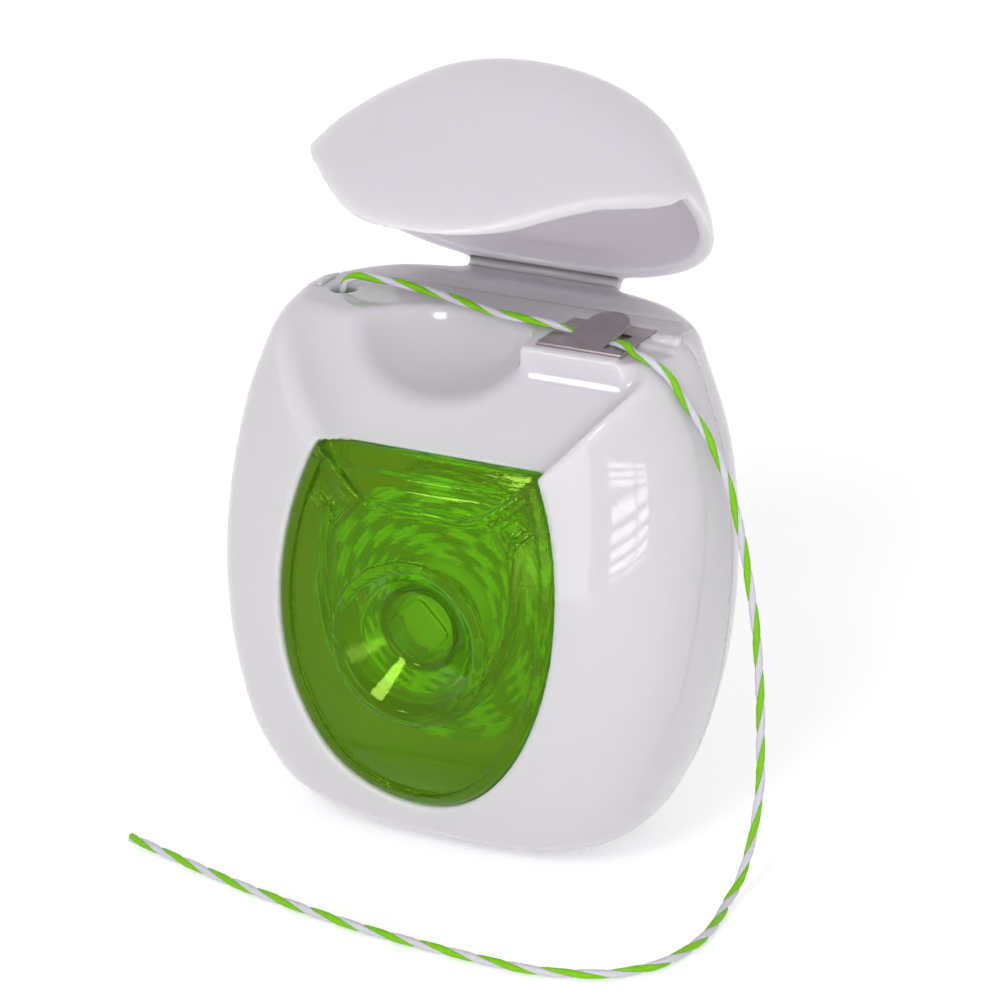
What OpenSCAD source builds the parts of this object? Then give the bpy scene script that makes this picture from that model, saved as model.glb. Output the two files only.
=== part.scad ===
// Dental floss dispenser: a pebble-shaped two-part body with a flip lid, a green window, a bobbin of
// floss and a steel cutter. X is right, the front faces -Y, Z is up, and the origin is the middle of the base.

/* [Body] */
// Width of the body at its widest
body_w = 52; // [40:0.5:70]
// Depth from the middle plane to the front of the bulge
front_d = 16.5; // [12:0.5:24]
// Depth from the middle plane to the back of the bulge
back_d = 15.5; // [13:0.5:22]
// Height of the body to the rim behind the deck
body_h = 53; // [44:0.5:70]
// Wall thickness of both shells
wall = 1.5; // [1:0.1:2.5]
// How far the deck lies below the rim behind it
deck_drop = 0.4; // [0:0.1:1.5]
// Rounding where the sides turn into the deck
shoulder_r = 3.8; // [1:0.1:6]
// Where the front and rear shells meet
seam_y = 2.8; // [0:0.1:6]
// Back edge of the deck plate that the front shell carries
deck_back_y = 7.6; // [6:0.1:11]
// Gap left at the parting line
seam_gap = 0.1; // [0.05:0.05:0.4]

/* [Lid] */
// Height of the closed lid above the body
lid_h = 14; // [9:0.5:24]
// Wall thickness of the lid
lid_wall = 1.5; // [1:0.1:2.5]
// How far the lid stands open
lid_open = 53; // [0:1:100]
// Gap under the closed lid's side edge
lid_gap = 0.6; // [0.4:0.1:1.2]
// Clearance round the lid's tongue in its recess
tongue_clear = 0.35; // [0.2:0.05:0.8]
// Depth of the recess that the tongue lies in
recess_step = 1.9; // [1.7:0.1:3]
// Slope of the recess: how far it leans back for each unit of height
recess_lean = 0.7; // [0.4:0.05:1]
// How far the tongue's edge sags below the top of the window
tongue_sag = 5; // [2:0.5:8]
// Length of the living hinge
hinge_w = 16.6; // [8:0.2:30]
// Radius of the living hinge's rounded web
hinge_r = 0.4; // [0.3:0.05:0.6]

/* [Window] */
// Height of the window's straight top edge
window_top = 42; // [36:0.5:46]
// Height of the window's lowest point
window_bottom = 6.4; // [4:0.2:14]
// Half the window's straight top edge
window_top_half = 12; // [8:0.2:14]
// Half the window's width at its widest
window_half = 15; // [10:0.2:18]
// Height of the window's widest point
window_mid = 28; // [20:0.5:34]
// Wall thickness of the window
window_wall = 1.2; // [0.8:0.1:2]
// Clearance round the window in its opening
window_clear = 0.12; // [0.05:0.01:0.3]
// How far the window's flange reaches behind the shell
window_flange = 1.4; // [0.8:0.1:2.5]
// Room between the axle post and the hub ring on the window
hub_space = 0.7; // [0.3:0.1:2]
// Radius of the dish round the hub ring
dish_r = 7.7; // [5:0.1:11]

/* [Spool] */
// Height of the spool's axis
spool_z = 25; // [20:0.5:30]
// Radius of the axle post
axle_r = 3; // [2:0.1:4]
// Running clearance between the axle post and the bobbin
axle_clear = 0.08; // [0.03:0.01:0.1]
// Outer radius of the bobbin
bobbin_r = 5; // [4:0.1:7]
// Front face of the bobbin
bobbin_front_y = -8.6; // [-11:0.2:-6]
// Length of the bobbin
bobbin_l = 17; // [10:0.5:20]
// Radius of the full winding without its top layer
winding_r = 13.4; // [9:0.1:14]
// Length of the winding along the bobbin
winding_l = 15.4; // [8:0.2:18]
// Diameter of the floss as it lies on the winding
wound_d = 0.8; // [0.5:0.05:1.2]
// Turns in the top layer of the winding
wound_turns = 10; // [6:1:24]

/* [Deck] */
// Middle of the finger scoop, from the middle of the deck
scoop_x = -2.5; // [-6:0.1:2]
// Half width of the finger scoop
scoop_half_w = 11.2; // [7:0.1:13]
// Half length of the finger scoop from front to back
scoop_half_d = 11.3; // [8:0.1:14]
// Depth of the finger scoop's hollow
scoop_depth = 8.1; // [5:0.1:10]
// Place of the floss hole to the left of the middle
hole_x = 16.9; // [12:0.1:18]
// Place of the floss hole behind the middle plane
hole_y = 3; // [0:0.1:5]
// Radius of the floss hole
hole_r = 1.3; // [1:0.1:2]

/* [Cutter] */
// Left edge of the cutter plate
cutter_x = 7.7; // [5:0.1:10]
// Front edge of the cutter plate
cutter_y = -3.4; // [-5:0.1:0]
// Width of the cutter plate
cutter_w = 8.9; // [6:0.1:11]
// Depth of the cutter plate
cutter_d = 8.3; // [6:0.1:10]
// Thickness of the cutter's sheet
cutter_t = 0.3; // [0.2:0.05:0.6]
// Width of the cutter's tongue
tongue_w = 4.6; // [3:0.1:7]
// Length of the cutter's tongue
tongue_l = 7; // [5:0.1:9]
// Angle at which the cutter's tongue stands up
tongue_rise = 14; // [6:1:30]
// Depth of the notch that the floss leaves by, between the cutter and the ear
notch_depth = 0.5; // [0.1:0.1:0.8]
// Width of the ear beside the cutter
ear_w = 3; // [1.5:0.1:4]
// Length of the ear from front to back
ear_d = 1.3; // [0.8:0.1:2]
// Height of the ear above the deck
ear_h = 0.7; // [0.4:0.1:0.8]
// Gap between the cutter plate and the ear
ear_gap = 0.8; // [0.4:0.1:1.5]
// Front of the ear, just behind the floss
ear_y = 1.45; // [1.3:0.05:3]

/* [Floss] */
// Diameter of the free floss
floss_d = 1.2; // [0.8:0.1:2]

/* [Hidden] */

// Outline of the closed pebble. Heights are shares of the body up to 1, and of the lid above it. The
// shares of width and depth are kept squared, which rounds the base and the crown.
levels = [0, 0.057, 0.151, 0.302, 0.509, 0.792, 1, 1.5, 1.857, 2];
width_sq = [0.25, 0.5, 0.70, 0.882, 0.995, 0.925, 0.678, 0.428, 0.175, 0];
front_sq = [0.22, 0.53, 0.83, 1, 0.957, 0.676, 0.475, 0.346, 0.154, 0];
back_sq = [0.15, 0.42, 0.69, 0.93, 1, 0.96, 0.811, 0.663, 0.296, 0];
corner_mid = 2.75;
corner_top = 2.05;
crown_y = 1.5;
closed_h = body_h + lid_h;
deck_z = body_h - deck_drop;
cavity_top = deck_z - wall;
ring_sides = 56;
eps = 0.01;
through = 3;

// Value at place s of a smooth curve through the listed points. The lid starts at the body's own slope, so
// that no crease shows where they meet
function span(s, k = 0) = k >= len(levels) - 2 || s < levels[k + 1] ? k : span(s, k + 1);
function chord(v, k) = (v[k + 1] - v[k]) / (levels[k + 1] - levels[k]);
function step(k) = levels[k + 1] - levels[k];
function slope(v, k) =
    k == 0 ? 1.5 * chord(v, 0) - 0.5 * slope(v, 1)
    : k == len(levels) - 1 ? 1.5 * chord(v, k - 1) - 0.5 * slope(v, k - 1)
    : (step(k) * chord(v, k - 1) + step(k - 1) * chord(v, k)) / (step(k) + step(k - 1));
function start_slope(v, k) = slope(v, k) * (levels[k] == 1 ? lid_h / body_h : 1);
function curve(v, s, k) =
    let (h = step(k), t = (s - levels[k]) / h)
    (2 * t ^ 3 - 3 * t ^ 2 + 1) * v[k] + (t ^ 3 - 2 * t ^ 2 + t) * h * start_slope(v, k)
    + (3 * t ^ 2 - 2 * t ^ 3) * v[k + 1] + (t ^ 3 - t ^ 2) * h * slope(v, k + 1);
function share(v, s) = sqrt(max(0, curve(v, s, span(s))));

// The pebble's size at height z, for a skin that lies "inset" inside the outer one
function full_z(z, inset) = (z - inset) * closed_h / (closed_h - 2 * inset);
function level(z) = z < body_h ? z / body_h : 1 + (z - body_h) / lid_h;
function half_w(z, inset) = (body_w / 2 - inset) * share(width_sq, level(full_z(z, inset)));
function front_y(z, inset) = crown_y - (front_d + crown_y - inset) * share(front_sq, level(full_z(z, inset)));
function back_y(z, inset) = crown_y + (back_d - crown_y - inset) * share(back_sq, level(full_z(z, inset)));
function corner(z) = corner_mid - (corner_mid - corner_top) * min(1, max(0, z / body_h - 0.5) / 0.75);
function signed_pow(v, p) = sign(v) * abs(v) ^ p;
function skin_y(x, z, inset) =
    let (b = back_y(z, inset), f = front_y(z, inset), n = corner(z))
    (b + f) / 2 - (b - f) / 2 * max(0, 1 - abs(x / half_w(z, inset)) ^ n) ^ (1 / n);
function ring(z, inset) =
    let (w = half_w(z, inset), b = back_y(z, inset), f = front_y(z, inset), p = 2 / corner(z))
    [for (i = [0 : ring_sides - 1])
        let (a = 360 * (i + 0.5) / ring_sides)
        [w * signed_pow(cos(a), p), (b + f) / 2 + (b - f) / 2 * signed_pow(sin(a), p), z]];

// A closed solid through a list of rings of equal count
module loft(rings) {
    n = len(rings[0]);
    last = len(rings) - 1;
    polyhedron(
        points = concat([for (r = rings) each r], [ring_centre(rings[0]), ring_centre(rings[last])]),
        faces = concat(
            [for (i = [0 : n - 1]) [i, (i + 1) % n, n * (last + 1)]],
            [for (i = [0 : n - 1]) [n * last + (i + 1) % n, n * last + i, n * (last + 1) + 1]],
            [for (k = [0 : last - 1], i = [0 : n - 1]) [n * k + (i + 1) % n, n * k + i, n * (k + 1) + i]],
            [for (k = [0 : last - 1], i = [0 : n - 1])
                [n * (k + 1) + (i + 1) % n, n * k + (i + 1) % n, n * (k + 1) + i]]));
}
function ring_centre(r) = let (n = len(r)) [0, (r[n / 4][1] + r[3 * n / 4][1]) / 2, r[0][2]];

// The pebble from height z0 to z1, drawn in "cuts" slices
module pebble(z0, z1, inset, cuts) {
    loft([for (k = [0 : cuts]) ring(z0 + (z1 - z0) * k / cuts, inset)]);
}

// The crown of the closed pebble, with slices that crowd towards its top
crown_flat = 0.05;
module crown(z0, inset, cuts) {
    z1 = closed_h - inset - crown_flat;
    loft([for (k = [0 : cuts]) ring(z0 + (z1 - z0) * sin(90 * k / cuts), inset)]);
}

// The body with its shoulder rounded over at the top
module body_solid(inset, top_z, round_r, cuts) {
    straight = top_z - round_r;
    bottom = inset;
    loft(concat(
        [for (k = [0 : cuts]) ring(bottom + (straight - bottom) * (0.5 * k / cuts + (1 - cos(180 * k / cuts)) / 4), inset)],
        [for (k = [1 : 5])
            let (a = 90 * k / 5, z = straight + round_r * sin(a), d = round_r * (1 - cos(a)))
            shrink(ring(z, inset), half_w(z, inset), d)]));
}
function shrink(r, w, d) = let (c = ring_centre(r), s = (w - d) / w)
    [for (p = r) [p[0] * s, c[1] + (p[1] - c[1]) * (1 - d / abs_depth(r)), p[2]]];
function abs_depth(r) = let (n = len(r)) abs(r[n / 4][1] - r[3 * n / 4][1]) / 2;

// Outline of the window seen from the front, grown by "grow"
window_up = (window_top - window_mid) / sqrt(1 - (window_top_half / window_half) ^ 2);
function window_edge(grow) = concat(
    [for (k = [0 : 10])
        let (z = window_top + grow - (window_top - window_mid + grow) * k / 10)
        [(window_half + grow) * sqrt(1 - ((z - window_mid) / (window_up + grow)) ^ 2), z]],
    [for (k = [1 : 17])
        let (a = 90 * k / 17)
        [(window_half + grow) * cos(a), window_mid - (window_mid - window_bottom + grow) * sin(a)]],
    [for (k = [1 : 16])
        let (a = 90 - 90 * k / 17)
        [-(window_half + grow) * cos(a), window_mid - (window_mid - window_bottom + grow) * sin(a)]],
    [for (k = [0 : 10])
        let (z = window_mid + (window_top - window_mid + grow) * k / 10)
        [-(window_half + grow) * sqrt(1 - ((z - window_mid) / (window_up + grow)) ^ 2), z]]);

// A prism from y0 back to y1, with its outline given in X and Z
module front_prism(y0, y1) {
    translate([0, y1, 0])
        rotate([90, 0, 0])
            linear_extrude(y1 - y0) children();
}

// Outline of the lid's tongue seen from the front, and of the recess that it fits
v_spread = 0.86;
front_plane_y = -60;
lid_edge_z = body_h + lid_gap;
tongue_back_y = -4;
function v_half(z, grow) = window_top_half + grow + (z - window_top) * v_spread;
module tongue_shape(grow, top) {
    polygon(concat(
        [[v_half(top, grow), top], [-v_half(top, grow), top]],
        [for (k = [0 : 12])
            let (u = -1 + 2 * k / 12)
            [u * (window_top_half + grow), window_top - (tongue_sag + grow) * (1 - u ^ 2)]]));
}
module recess_shape() {
    h = window_half + body_h;
    polygon([[window_top_half, window_top], [v_half(h, 0), h], [-v_half(h, 0), h], [-window_top_half, window_top]]);
}

// Everything in front of the sloping recess floor, pushed back by "back"
recess_y = skin_y(window_top_half, window_top, 0) + recess_step;
module slope_front(back) {
    low = window_top - 20;
    high = body_h + 20;
    rotate([90, 0, 90])
        translate([0, 0, -body_w])
            linear_extrude(2 * body_w)
                polygon([[front_plane_y, low], [slope_y(low) + back, low], [slope_y(high) + back, high],
                    [front_plane_y, high]]);
}
function slope_y(z) = recess_y + (z - window_top) * recess_lean;

// The recess over the front, and the same grown by a wall for the cavity behind it
module recess(back, grow) {
    intersection() {
        slope_front(back);
        front_prism(front_plane_y, back_d)
            offset(delta = grow) recess_shape();
    }
}

// The finger scoop's hollow, grown by "grow"
scoop_z = body_h + 1.5;
scoop_back_y = 3.3;
scoop_y = scoop_back_y - scoop_half_d;
module scoop(grow) {
    translate([scoop_x, scoop_y, scoop_z])
        scale([scoop_half_w + grow, scoop_half_d + grow, scoop_depth + grow])
            sphere(r = 1, $fn = 40);
}

// The raised block that carries the cutter, the ear beside it and the guides between the shells
seat_margin = 1.3;
seat_top = deck_z - 0.25;
seat_deep = 5;
seat_inset_side = lid_wall + tongue_clear;
module cutter_seat() {
    translate([cutter_x - seat_margin, cutter_y - seat_margin, seat_top - seat_deep])
        cube([cutter_w + 2 * seat_margin, cutter_d + 2 * seat_margin, seat_deep]);
}
ear_root = 1;
ear_bevel = 0.4;
pocket_clear = 0.1;
module plate_pocket() {
    translate([cutter_x - pocket_clear, cutter_y - pocket_clear, seat_top])
        cube([cutter_w + 2 * pocket_clear, cutter_d + 2 * pocket_clear, seat_deep]);
}
notch_back_y = 0.4;
module floss_notch() {
    translate([cutter_x + cutter_w, front_plane_y, deck_z - notch_depth])
        cube([body_w, notch_back_y - front_plane_y, notch_depth + ear_h]);
}
module ear() {
    translate([cutter_x + cutter_w + ear_gap, ear_y, deck_z - ear_root])
        hull() {
            cube([ear_w, ear_d, ear_root]);
            translate([ear_bevel, ear_bevel / 2, 0])
                cube([ear_w - 2 * ear_bevel, ear_d - ear_bevel, ear_root + ear_h]);
        }
}

// The part of the body that belongs to the front shell, shrunk by "gap"
deck_half = 19.4;
deck_land = 0.2;
deck_past = 1;
scoop_share = (seam_y - scoop_y) / (scoop_half_d + wall);
scoop_under = scoop_z - (scoop_depth + wall) * sqrt(max(0, 1 - scoop_share ^ 2));
deck_under = min(cavity_top, scoop_under) - deck_land;
module front_part(gap) {
    translate([-body_w, front_plane_y, -body_h])
        cube([2 * body_w, seam_y - gap - front_plane_y, 3 * body_h]);
    translate([-deck_half + gap, 0, deck_under + gap])
        cube([2 * deck_half - 2 * gap, deck_back_y - gap, body_h]);
}

// The hollow inside both shells
module cavity() {
    difference() {
        body_solid(wall, cavity_top, shoulder_r - wall, 14);
        recess(wall, wall);
        scoop(wall);
    }
}
module drawn_body() {
    difference() {
        body_solid(0, body_h, shoulder_r, 18);
        cavity();
    }
}

module front_shell() {
    color("white")
        resize([0, 0, 0])
            difference() {
                union() {
                    difference() {
                        intersection() {
                            drawn_body();
                            front_part(seam_gap / 2);
                        }
                        recess(0, 0);
                        scoop(0);
                        translate([-deck_half - deck_past, front_plane_y, deck_z])
                            cube([2 * (deck_half + deck_past), deck_back_y - front_plane_y, body_h]);
                    }
                    intersection() {
                        cutter_seat();
                        body_solid(seat_inset_side, body_h, shoulder_r, 18);
                    }
                    ear();
                }
                plate_pocket();
                floss_notch();
                front_prism(front_plane_y, front_window_y)
                    polygon(window_edge(0));
                translate([-hole_x, hole_y, cavity_top - through])
                    cylinder(r = hole_r, h = 3 * through, $fn = 28);
            }
}
front_window_y = -8;

// The axle post stands on the rear wall and reaches into the window's hub ring
post_reach = 2.2;
post_front_y = bobbin_front_y - post_reach;
collar_gap = 0.3;
collar_r = axle_r + 1.6;
post_back_y = back_y(spool_z, wall / 2);
module spool_rod(r, y0, y1) {
    translate([0, y0, spool_z])
        rotate([-90, 0, 0])
            cylinder(r = r, h = y1 - y0, $fn = 64);
}
module rear_shell() {
    color("white") {
        resize([0, 0, 0])
            difference() {
                union() {
                    difference() {
                        drawn_body();
                        front_part(-seam_gap / 2);
                    }
                    hinge_lip();
                }
                hinge_groove();
            }
        spool_rod(axle_r, post_front_y, post_back_y);
        spool_rod(collar_r, bobbin_front_y + bobbin_l + collar_gap, post_back_y);
    }
}

// The living hinge is a thin rounded web on the axis, between a lip on the body and one on the lid
hinge_y = back_y(body_h, 0) - 0.1;
hinge_z = body_h + lid_gap / 2;
hinge_clear = 0.05;
hinge_end = 0.2;
lip_d = 2.2;
module hinge_line(r, w) {
    translate([-w / 2, hinge_y, hinge_z])
        rotate([0, 90, 0])
            cylinder(r = r, h = w, $fn = 32);
}
module hinge_groove() {
    hinge_line(hinge_r + hinge_clear, hinge_w + 2 * hinge_end);
}
module hinge_lip() {
    intersection() {
        translate([-hinge_w / 2, hinge_y - hinge_r - lip_d, body_h - shoulder_r])
            cube([hinge_w, lip_d, shoulder_r + lid_gap / 3]);
        pebble(body_h - 2 * shoulder_r, closed_h - lid_h / 2, 0, 6);
    }
}
module hinge_strip() {
    color("white")
        hinge_line(hinge_r, hinge_w);
}

// The lid, drawn shut and then turned open about the hinge
module turned_open() {
    translate([0, hinge_y, hinge_z])
        rotate([-lid_open, 0, 0])
            translate([0, -hinge_y, -hinge_z])
                children();
}
lid_past = 2;
lid_low = window_top - tongue_sag - lid_past;
module lid_region() {
    intersection() {
        front_prism(front_plane_y, tongue_back_y)
            tongue_shape(-tongue_clear, lid_edge_z + eps);
        slope_front(-tongue_clear);
    }
    translate([-body_w, front_plane_y, lid_edge_z])
        cube([2 * body_w, 2 * body_w + 60, 2 * lid_h]);
}
module lid() {
    color("white")
        resize([0, 0, 0])
            turned_open()
                difference() {
                    intersection() {
                        crown(lid_low, 0, 18);
                        lid_region();
                    }
                    crown(lid_low - lid_past, lid_wall, 16);
                    hinge_groove();
                }
}

// The green window: a skin in the opening, a flange behind the shell, a stepped-down seat for the lid's
// tongue, and a dish that narrows back to the hub ring
window_skin = 0.25;
flange_t = 0.9;
flange_gap = 0.15;
flange_drop = 0.5;
window_low = 2;
window_high = body_h - 4;
seat_inset = window_skin + recess_step;
seat_grow = 1.2;
window_cuts = 12;
window_past = 0.5;
seat_past = 5;
hub_wall = 0.9;
hub_bore = axle_r + hub_space;
hub_r = hub_bore + hub_wall;
hub_room = 1.6;
hub_clear = 0.2;
hub_floor_y = post_front_y - hub_room;
dish_floor_y = hub_floor_y - hub_wall;
dish_y = front_y(spool_z, window_skin);
dish_past = 1;
dish_lean = dish_past * (dish_r - hub_bore) / (dish_floor_y - dish_y);
module window_slice(y_inset, grow) {
    intersection() {
        pebble(window_low, window_high, y_inset, window_cuts);
        front_prism(front_plane_y, front_window_y)
            polygon(window_edge(grow));
    }
}
module below_seat(grow, top, y_inset) {
    difference() {
        front_prism(front_plane_y, front_window_y)
            tongue_shape(grow, top);
        pebble(window_low - window_past, window_high + window_past, y_inset, window_cuts);
    }
}
module hub(r0, r1, y0, y1) {
    translate([0, y0, spool_z])
        rotate([-90, 0, 0])
            cylinder(r1 = r0, r2 = r1, h = y1 - y0, $fn = 48);
}
module window_sheet() {
    difference() {
        union() {
            window_slice(window_skin, -window_clear);
            difference() {
                window_slice(wall + flange_gap, window_flange);
                above_flange();
            }
        }
        difference() {
            pebble(window_low - window_past, window_high + window_past, wall + flange_t, window_cuts);
            front_prism(front_plane_y, front_window_y)
                tongue_shape(seat_grow, window_top + seat_past);
        }
        pebble(window_low - window_past, window_high + window_past, seat_inset + window_wall, window_cuts);
    }
}
module above_flange() {
    translate([-body_w, front_plane_y, window_top - wall - flange_drop])
        cube([2 * body_w, -front_plane_y, body_h]);
}
module window() {
    color("limegreen", 0.6)
        resize([0, 0, 0])
            difference() {
                union() {
                    window_sheet();
                    intersection() {
                        pebble(window_low, window_high, window_skin, window_cuts);
                        hub(dish_r + hub_wall, hub_r, dish_y - eps, hub_floor_y);
                    }
                    hub(hub_r, hub_r, dish_floor_y, bobbin_front_y - hub_clear);
                }
                below_seat(0, window_top + seat_past, seat_inset);
                hub(dish_r + dish_lean, hub_bore, dish_y - dish_past, dish_floor_y);
                hub(hub_bore, hub_bore, hub_floor_y, bobbin_front_y);
            }
}

// The cutter: a flat plate with a tongue struck up from it, which leaves a slot under the tongue
seat_clear = 0.02;
plate_z = seat_top + seat_clear;
fold_x = cutter_x + 1.9;
fold_y = cutter_y + 1.1;
slot_kerf = 0.25;
slot_start = 1;
tongue_turn = -10;
module cutter() {
    color("silver") {
        translate([cutter_x, cutter_y, plate_z])
            linear_extrude(cutter_t)
                difference() {
                    square([cutter_w, cutter_d]);
                    translate([fold_x - cutter_x, fold_y - cutter_y])
                        rotate(tongue_turn)
                            translate([-slot_kerf, slot_start])
                                square([tongue_w + 2 * slot_kerf, tongue_l - tongue_w / 2]);
                }
        translate([fold_x, fold_y, plate_z])
            rotate([tongue_rise, 0, tongue_turn])
                linear_extrude(cutter_t)
                    tongue_outline();
    }
}
module tongue_outline() {
    square([tongue_w, tongue_l - tongue_w / 2]);
    translate([tongue_w / 2, tongue_l - tongue_w / 2])
        circle(r = tongue_w / 2, $fn = 48);
}

// The bobbin and the floss wound on it
module spool_core() {
    color("white")
        translate([0, bobbin_front_y, spool_z])
            rotate([-90, 0, 0])
                difference() {
                    cylinder(r = bobbin_r, h = bobbin_l, $fn = 64);
                    translate([0, 0, -1])
                        cylinder(r = axle_r + axle_clear, h = bobbin_l + 2, $fn = 64);
                }
}
core_clear = 0.02;
wound_sink = 0.15;
wound_end = 0.2;
wound_pitch = (winding_l - wound_d - 2 * wound_end) / wound_turns;
wound_rings = 24;
wound_r = winding_r - wound_sink + wound_d / 2;
function wound_point(i) = let (a = 360 * i / wound_rings)
    [wound_r * sin(a), wound_pitch * i / wound_rings, wound_r * cos(a)];
echo(least_gap_between_wound_turns = wound_pitch - wound_d);
module floss_winding() {
    color("yellowgreen")
        translate([0, bobbin_front_y + (bobbin_l - winding_l) / 2, spool_z])
            resize([0, 0, 0])
                difference() {
                    union() {
                        rotate([-90, 0, 0])
                            cylinder(r = winding_r, h = winding_l, $fn = wound_rings);
                        translate([0, wound_d / 2 + wound_end, 0])
                            tube([for (i = [0 : wound_turns * wound_rings]) wound_point(i)],
                                [for (i = [0 : wound_turns * wound_rings]) wound_d / 2], 6);
                    }
                    translate([0, -1, 0])
                        rotate([-90, 0, 0])
                            cylinder(r = bobbin_r + core_clear, h = winding_l + 2, $fn = 48);
                }
}

// A tube of "sides" sides along a list of points, with a radius for each point
function unit(v) = v / norm(v);
function heading(p, i) = unit(p[min(i + 1, len(p) - 1)] - p[max(i - 1, 0)]);
function arm(d) = abs(d[2]) > 0.9 ? unit(cross(d, [0, 1, 0])) : unit(cross(d, [0, 0, 1]));
function carry(p, i, u) = i == len(p) ? [] :
    let (d = heading(p, i), v = unit(u - d * (u * d)))
    concat([v], carry(p, i + 1, v));
module tube(p, r, sides) {
    arms = carry(p, 0, arm(heading(p, 0)));
    rings = [for (i = [0 : len(p) - 1])
        let (d = heading(p, i), u = arms[i], w = cross(d, u))
        [for (k = [0 : sides - 1]) p[i] + r[i] * (cos(360 * k / sides) * u + sin(360 * k / sides) * w)]];
    last = len(p) - 1;
    polyhedron(
        points = concat([for (q = rings) each q], [p[0], p[last]]),
        faces = concat(
            [for (k = [0 : sides - 1]) [k, (k + 1) % sides, sides * (last + 1)]],
            [for (k = [0 : sides - 1]) [sides * last + (k + 1) % sides, sides * last + k, sides * (last + 1) + 1]],
            [for (i = [0 : last - 1], k = [0 : sides - 1])
                [sides * i + (k + 1) % sides, sides * i + k, sides * (i + 1) + k]],
            [for (i = [0 : last - 1], k = [0 : sides - 1])
                [sides * (i + 1) + (k + 1) % sides, sides * i + (k + 1) % sides, sides * (i + 1) + k]]));
}

// Points on a smooth curve through the chosen ones, about "gap" apart
function along(p, gap) = concat(
    [for (i = [0 : len(p) - 2])
        let (a = p[max(i - 1, 0)], b = p[i], c = p[i + 1], d = p[min(i + 2, len(p) - 1)],
            n = max(1, round(norm(c - b) / gap)))
        for (k = [0 : n - 1])
            let (t = k / n)
            0.5 * (2 * b + (c - a) * t + (2 * a - 5 * b + 4 * c - d) * t ^ 2 + (3 * b - a - 3 * c + d) * t ^ 3)],
    [p[len(p) - 1]]);

// The floss is nipped thin where it lies under the cutter's tongue
nip_r = 0.3;
nip_run = 1.5;
ring_gap = 2.5 * floss_d;
nip_right = fold_x + tongue_w + 0.3;
function off_tongue(q) = q[2] < deck_under ? nip_run : max(0, fold_x - q[0], q[0] - nip_right);
function floss_r(q) = nip_r + (floss_d / 2 - nip_r) * min(1, off_tongue(q) / nip_run);

// The run from the winding up to the deck hole, and the free floss from there to its bare end
lead_points = [[-15.2, 0, 30], [-15.6, 0.6, 36], [-16.4, 2.2, 44], [-16.9, 3, 49], [-16.9, 3, 51.6]];
tail_points = [[-16.9, 3, 51.7], [-16.9, 3, 52.7], [-16.4, 3.1, 53.6], [-14.5, 3.2, 54.1], [-10, 3.1, 53.9],
    [-6.1, 2.9, 53.6], [-2.3, 2, 53.4], [1.6, 0.9, 53.3], [5, 0.6, 53.3], [7.6, 0.3, 53.3],
    [9.3, 0.2, 53.1], [10.6, 0.1, 52.8], [12.6, -0.3, 52.7], [14.3, -0.9, 52.7], [15.4, -1.5, 53.1],
    [16.8, -2.2, 53.2], [17.9, -2.8, 52.8], [19.2, -3.3, 52.7], [20.4, -3.1, 52], [21.7, -2.9, 50.9],
    [22.5, -2.8, 49.7], [23.4, -2.3, 48.1], [25.1, -1.6, 45.2], [26.6, -0.9, 41.5], [28.1, -0.4, 36],
    [29.5, -0.3, 28.7], [30.1, -0.3, 24.7], [30.6, -0.3, 18.4], [30.8, -0.4, 12.2], [31, -0.9, 9.2],
    [31.3, -3.2, 4.9], [31.6, -6.7, 2], [31.7, -9.5, 1.1], [32.2, -13.1, 0.7], [32.6, -16.5, 0.7],
    [32.4, -20.3, 0.7], [31.5, -23.9, 0.7], [30.1, -26.3, 0.7], [27.2, -28.9, 0.7], [20.9, -31, 0.7],
    [11.4, -31, 0.7], [1.2, -30.1, 0.7], [-11.3, -27.6, 0.7], [-20.8, -24.8, 0.7], [-27.8, -22.5, 0.7]];
module floss(points) {
    path = along(points, ring_gap);
    color("yellowgreen")
        tube(path, [for (q = path) floss_r(q)], 8);
}
module floss_lead() {
    floss(lead_points);
}
module floss_tail() {
    floss(tail_points);
}

front_shell();
rear_shell();
lid();
hinge_strip();
window();
cutter();
spool_core();
floss_winding();
floss_lead();
floss_tail();
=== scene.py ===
"""Looks of a dental floss dispenser: a glossy white pebble body, a flip lid, a clear green window, a steel
cutter, and two-ply floss. The outline is worked in millimetres, and every mesh is handed over in metres."""

import math

import bmesh
import bpy
import numpy as np
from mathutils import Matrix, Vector


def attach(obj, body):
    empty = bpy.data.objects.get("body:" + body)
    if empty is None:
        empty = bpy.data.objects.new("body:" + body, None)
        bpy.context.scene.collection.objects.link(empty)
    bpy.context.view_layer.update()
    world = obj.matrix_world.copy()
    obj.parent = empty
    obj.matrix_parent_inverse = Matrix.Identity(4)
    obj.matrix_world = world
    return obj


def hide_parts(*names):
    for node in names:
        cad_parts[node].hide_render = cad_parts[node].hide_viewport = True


bl_info = {
    "name": "Floss dispenser looks",
    "version": (1, 0, 0),
    "blender": (4, 5, 0),
    "location": "3D View > Sidebar > Dispenser",
    "description": "Builds the shells, lid, window, cutter, bobbin and floss of a floss dispenser",
    "category": "Object",
}

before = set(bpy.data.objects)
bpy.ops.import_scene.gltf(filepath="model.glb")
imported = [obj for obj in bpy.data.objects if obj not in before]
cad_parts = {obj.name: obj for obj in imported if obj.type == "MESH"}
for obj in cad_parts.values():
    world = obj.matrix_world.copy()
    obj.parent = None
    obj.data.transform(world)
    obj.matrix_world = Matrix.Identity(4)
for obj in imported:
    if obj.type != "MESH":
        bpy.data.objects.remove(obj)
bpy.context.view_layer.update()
MM = 0.001

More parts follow.
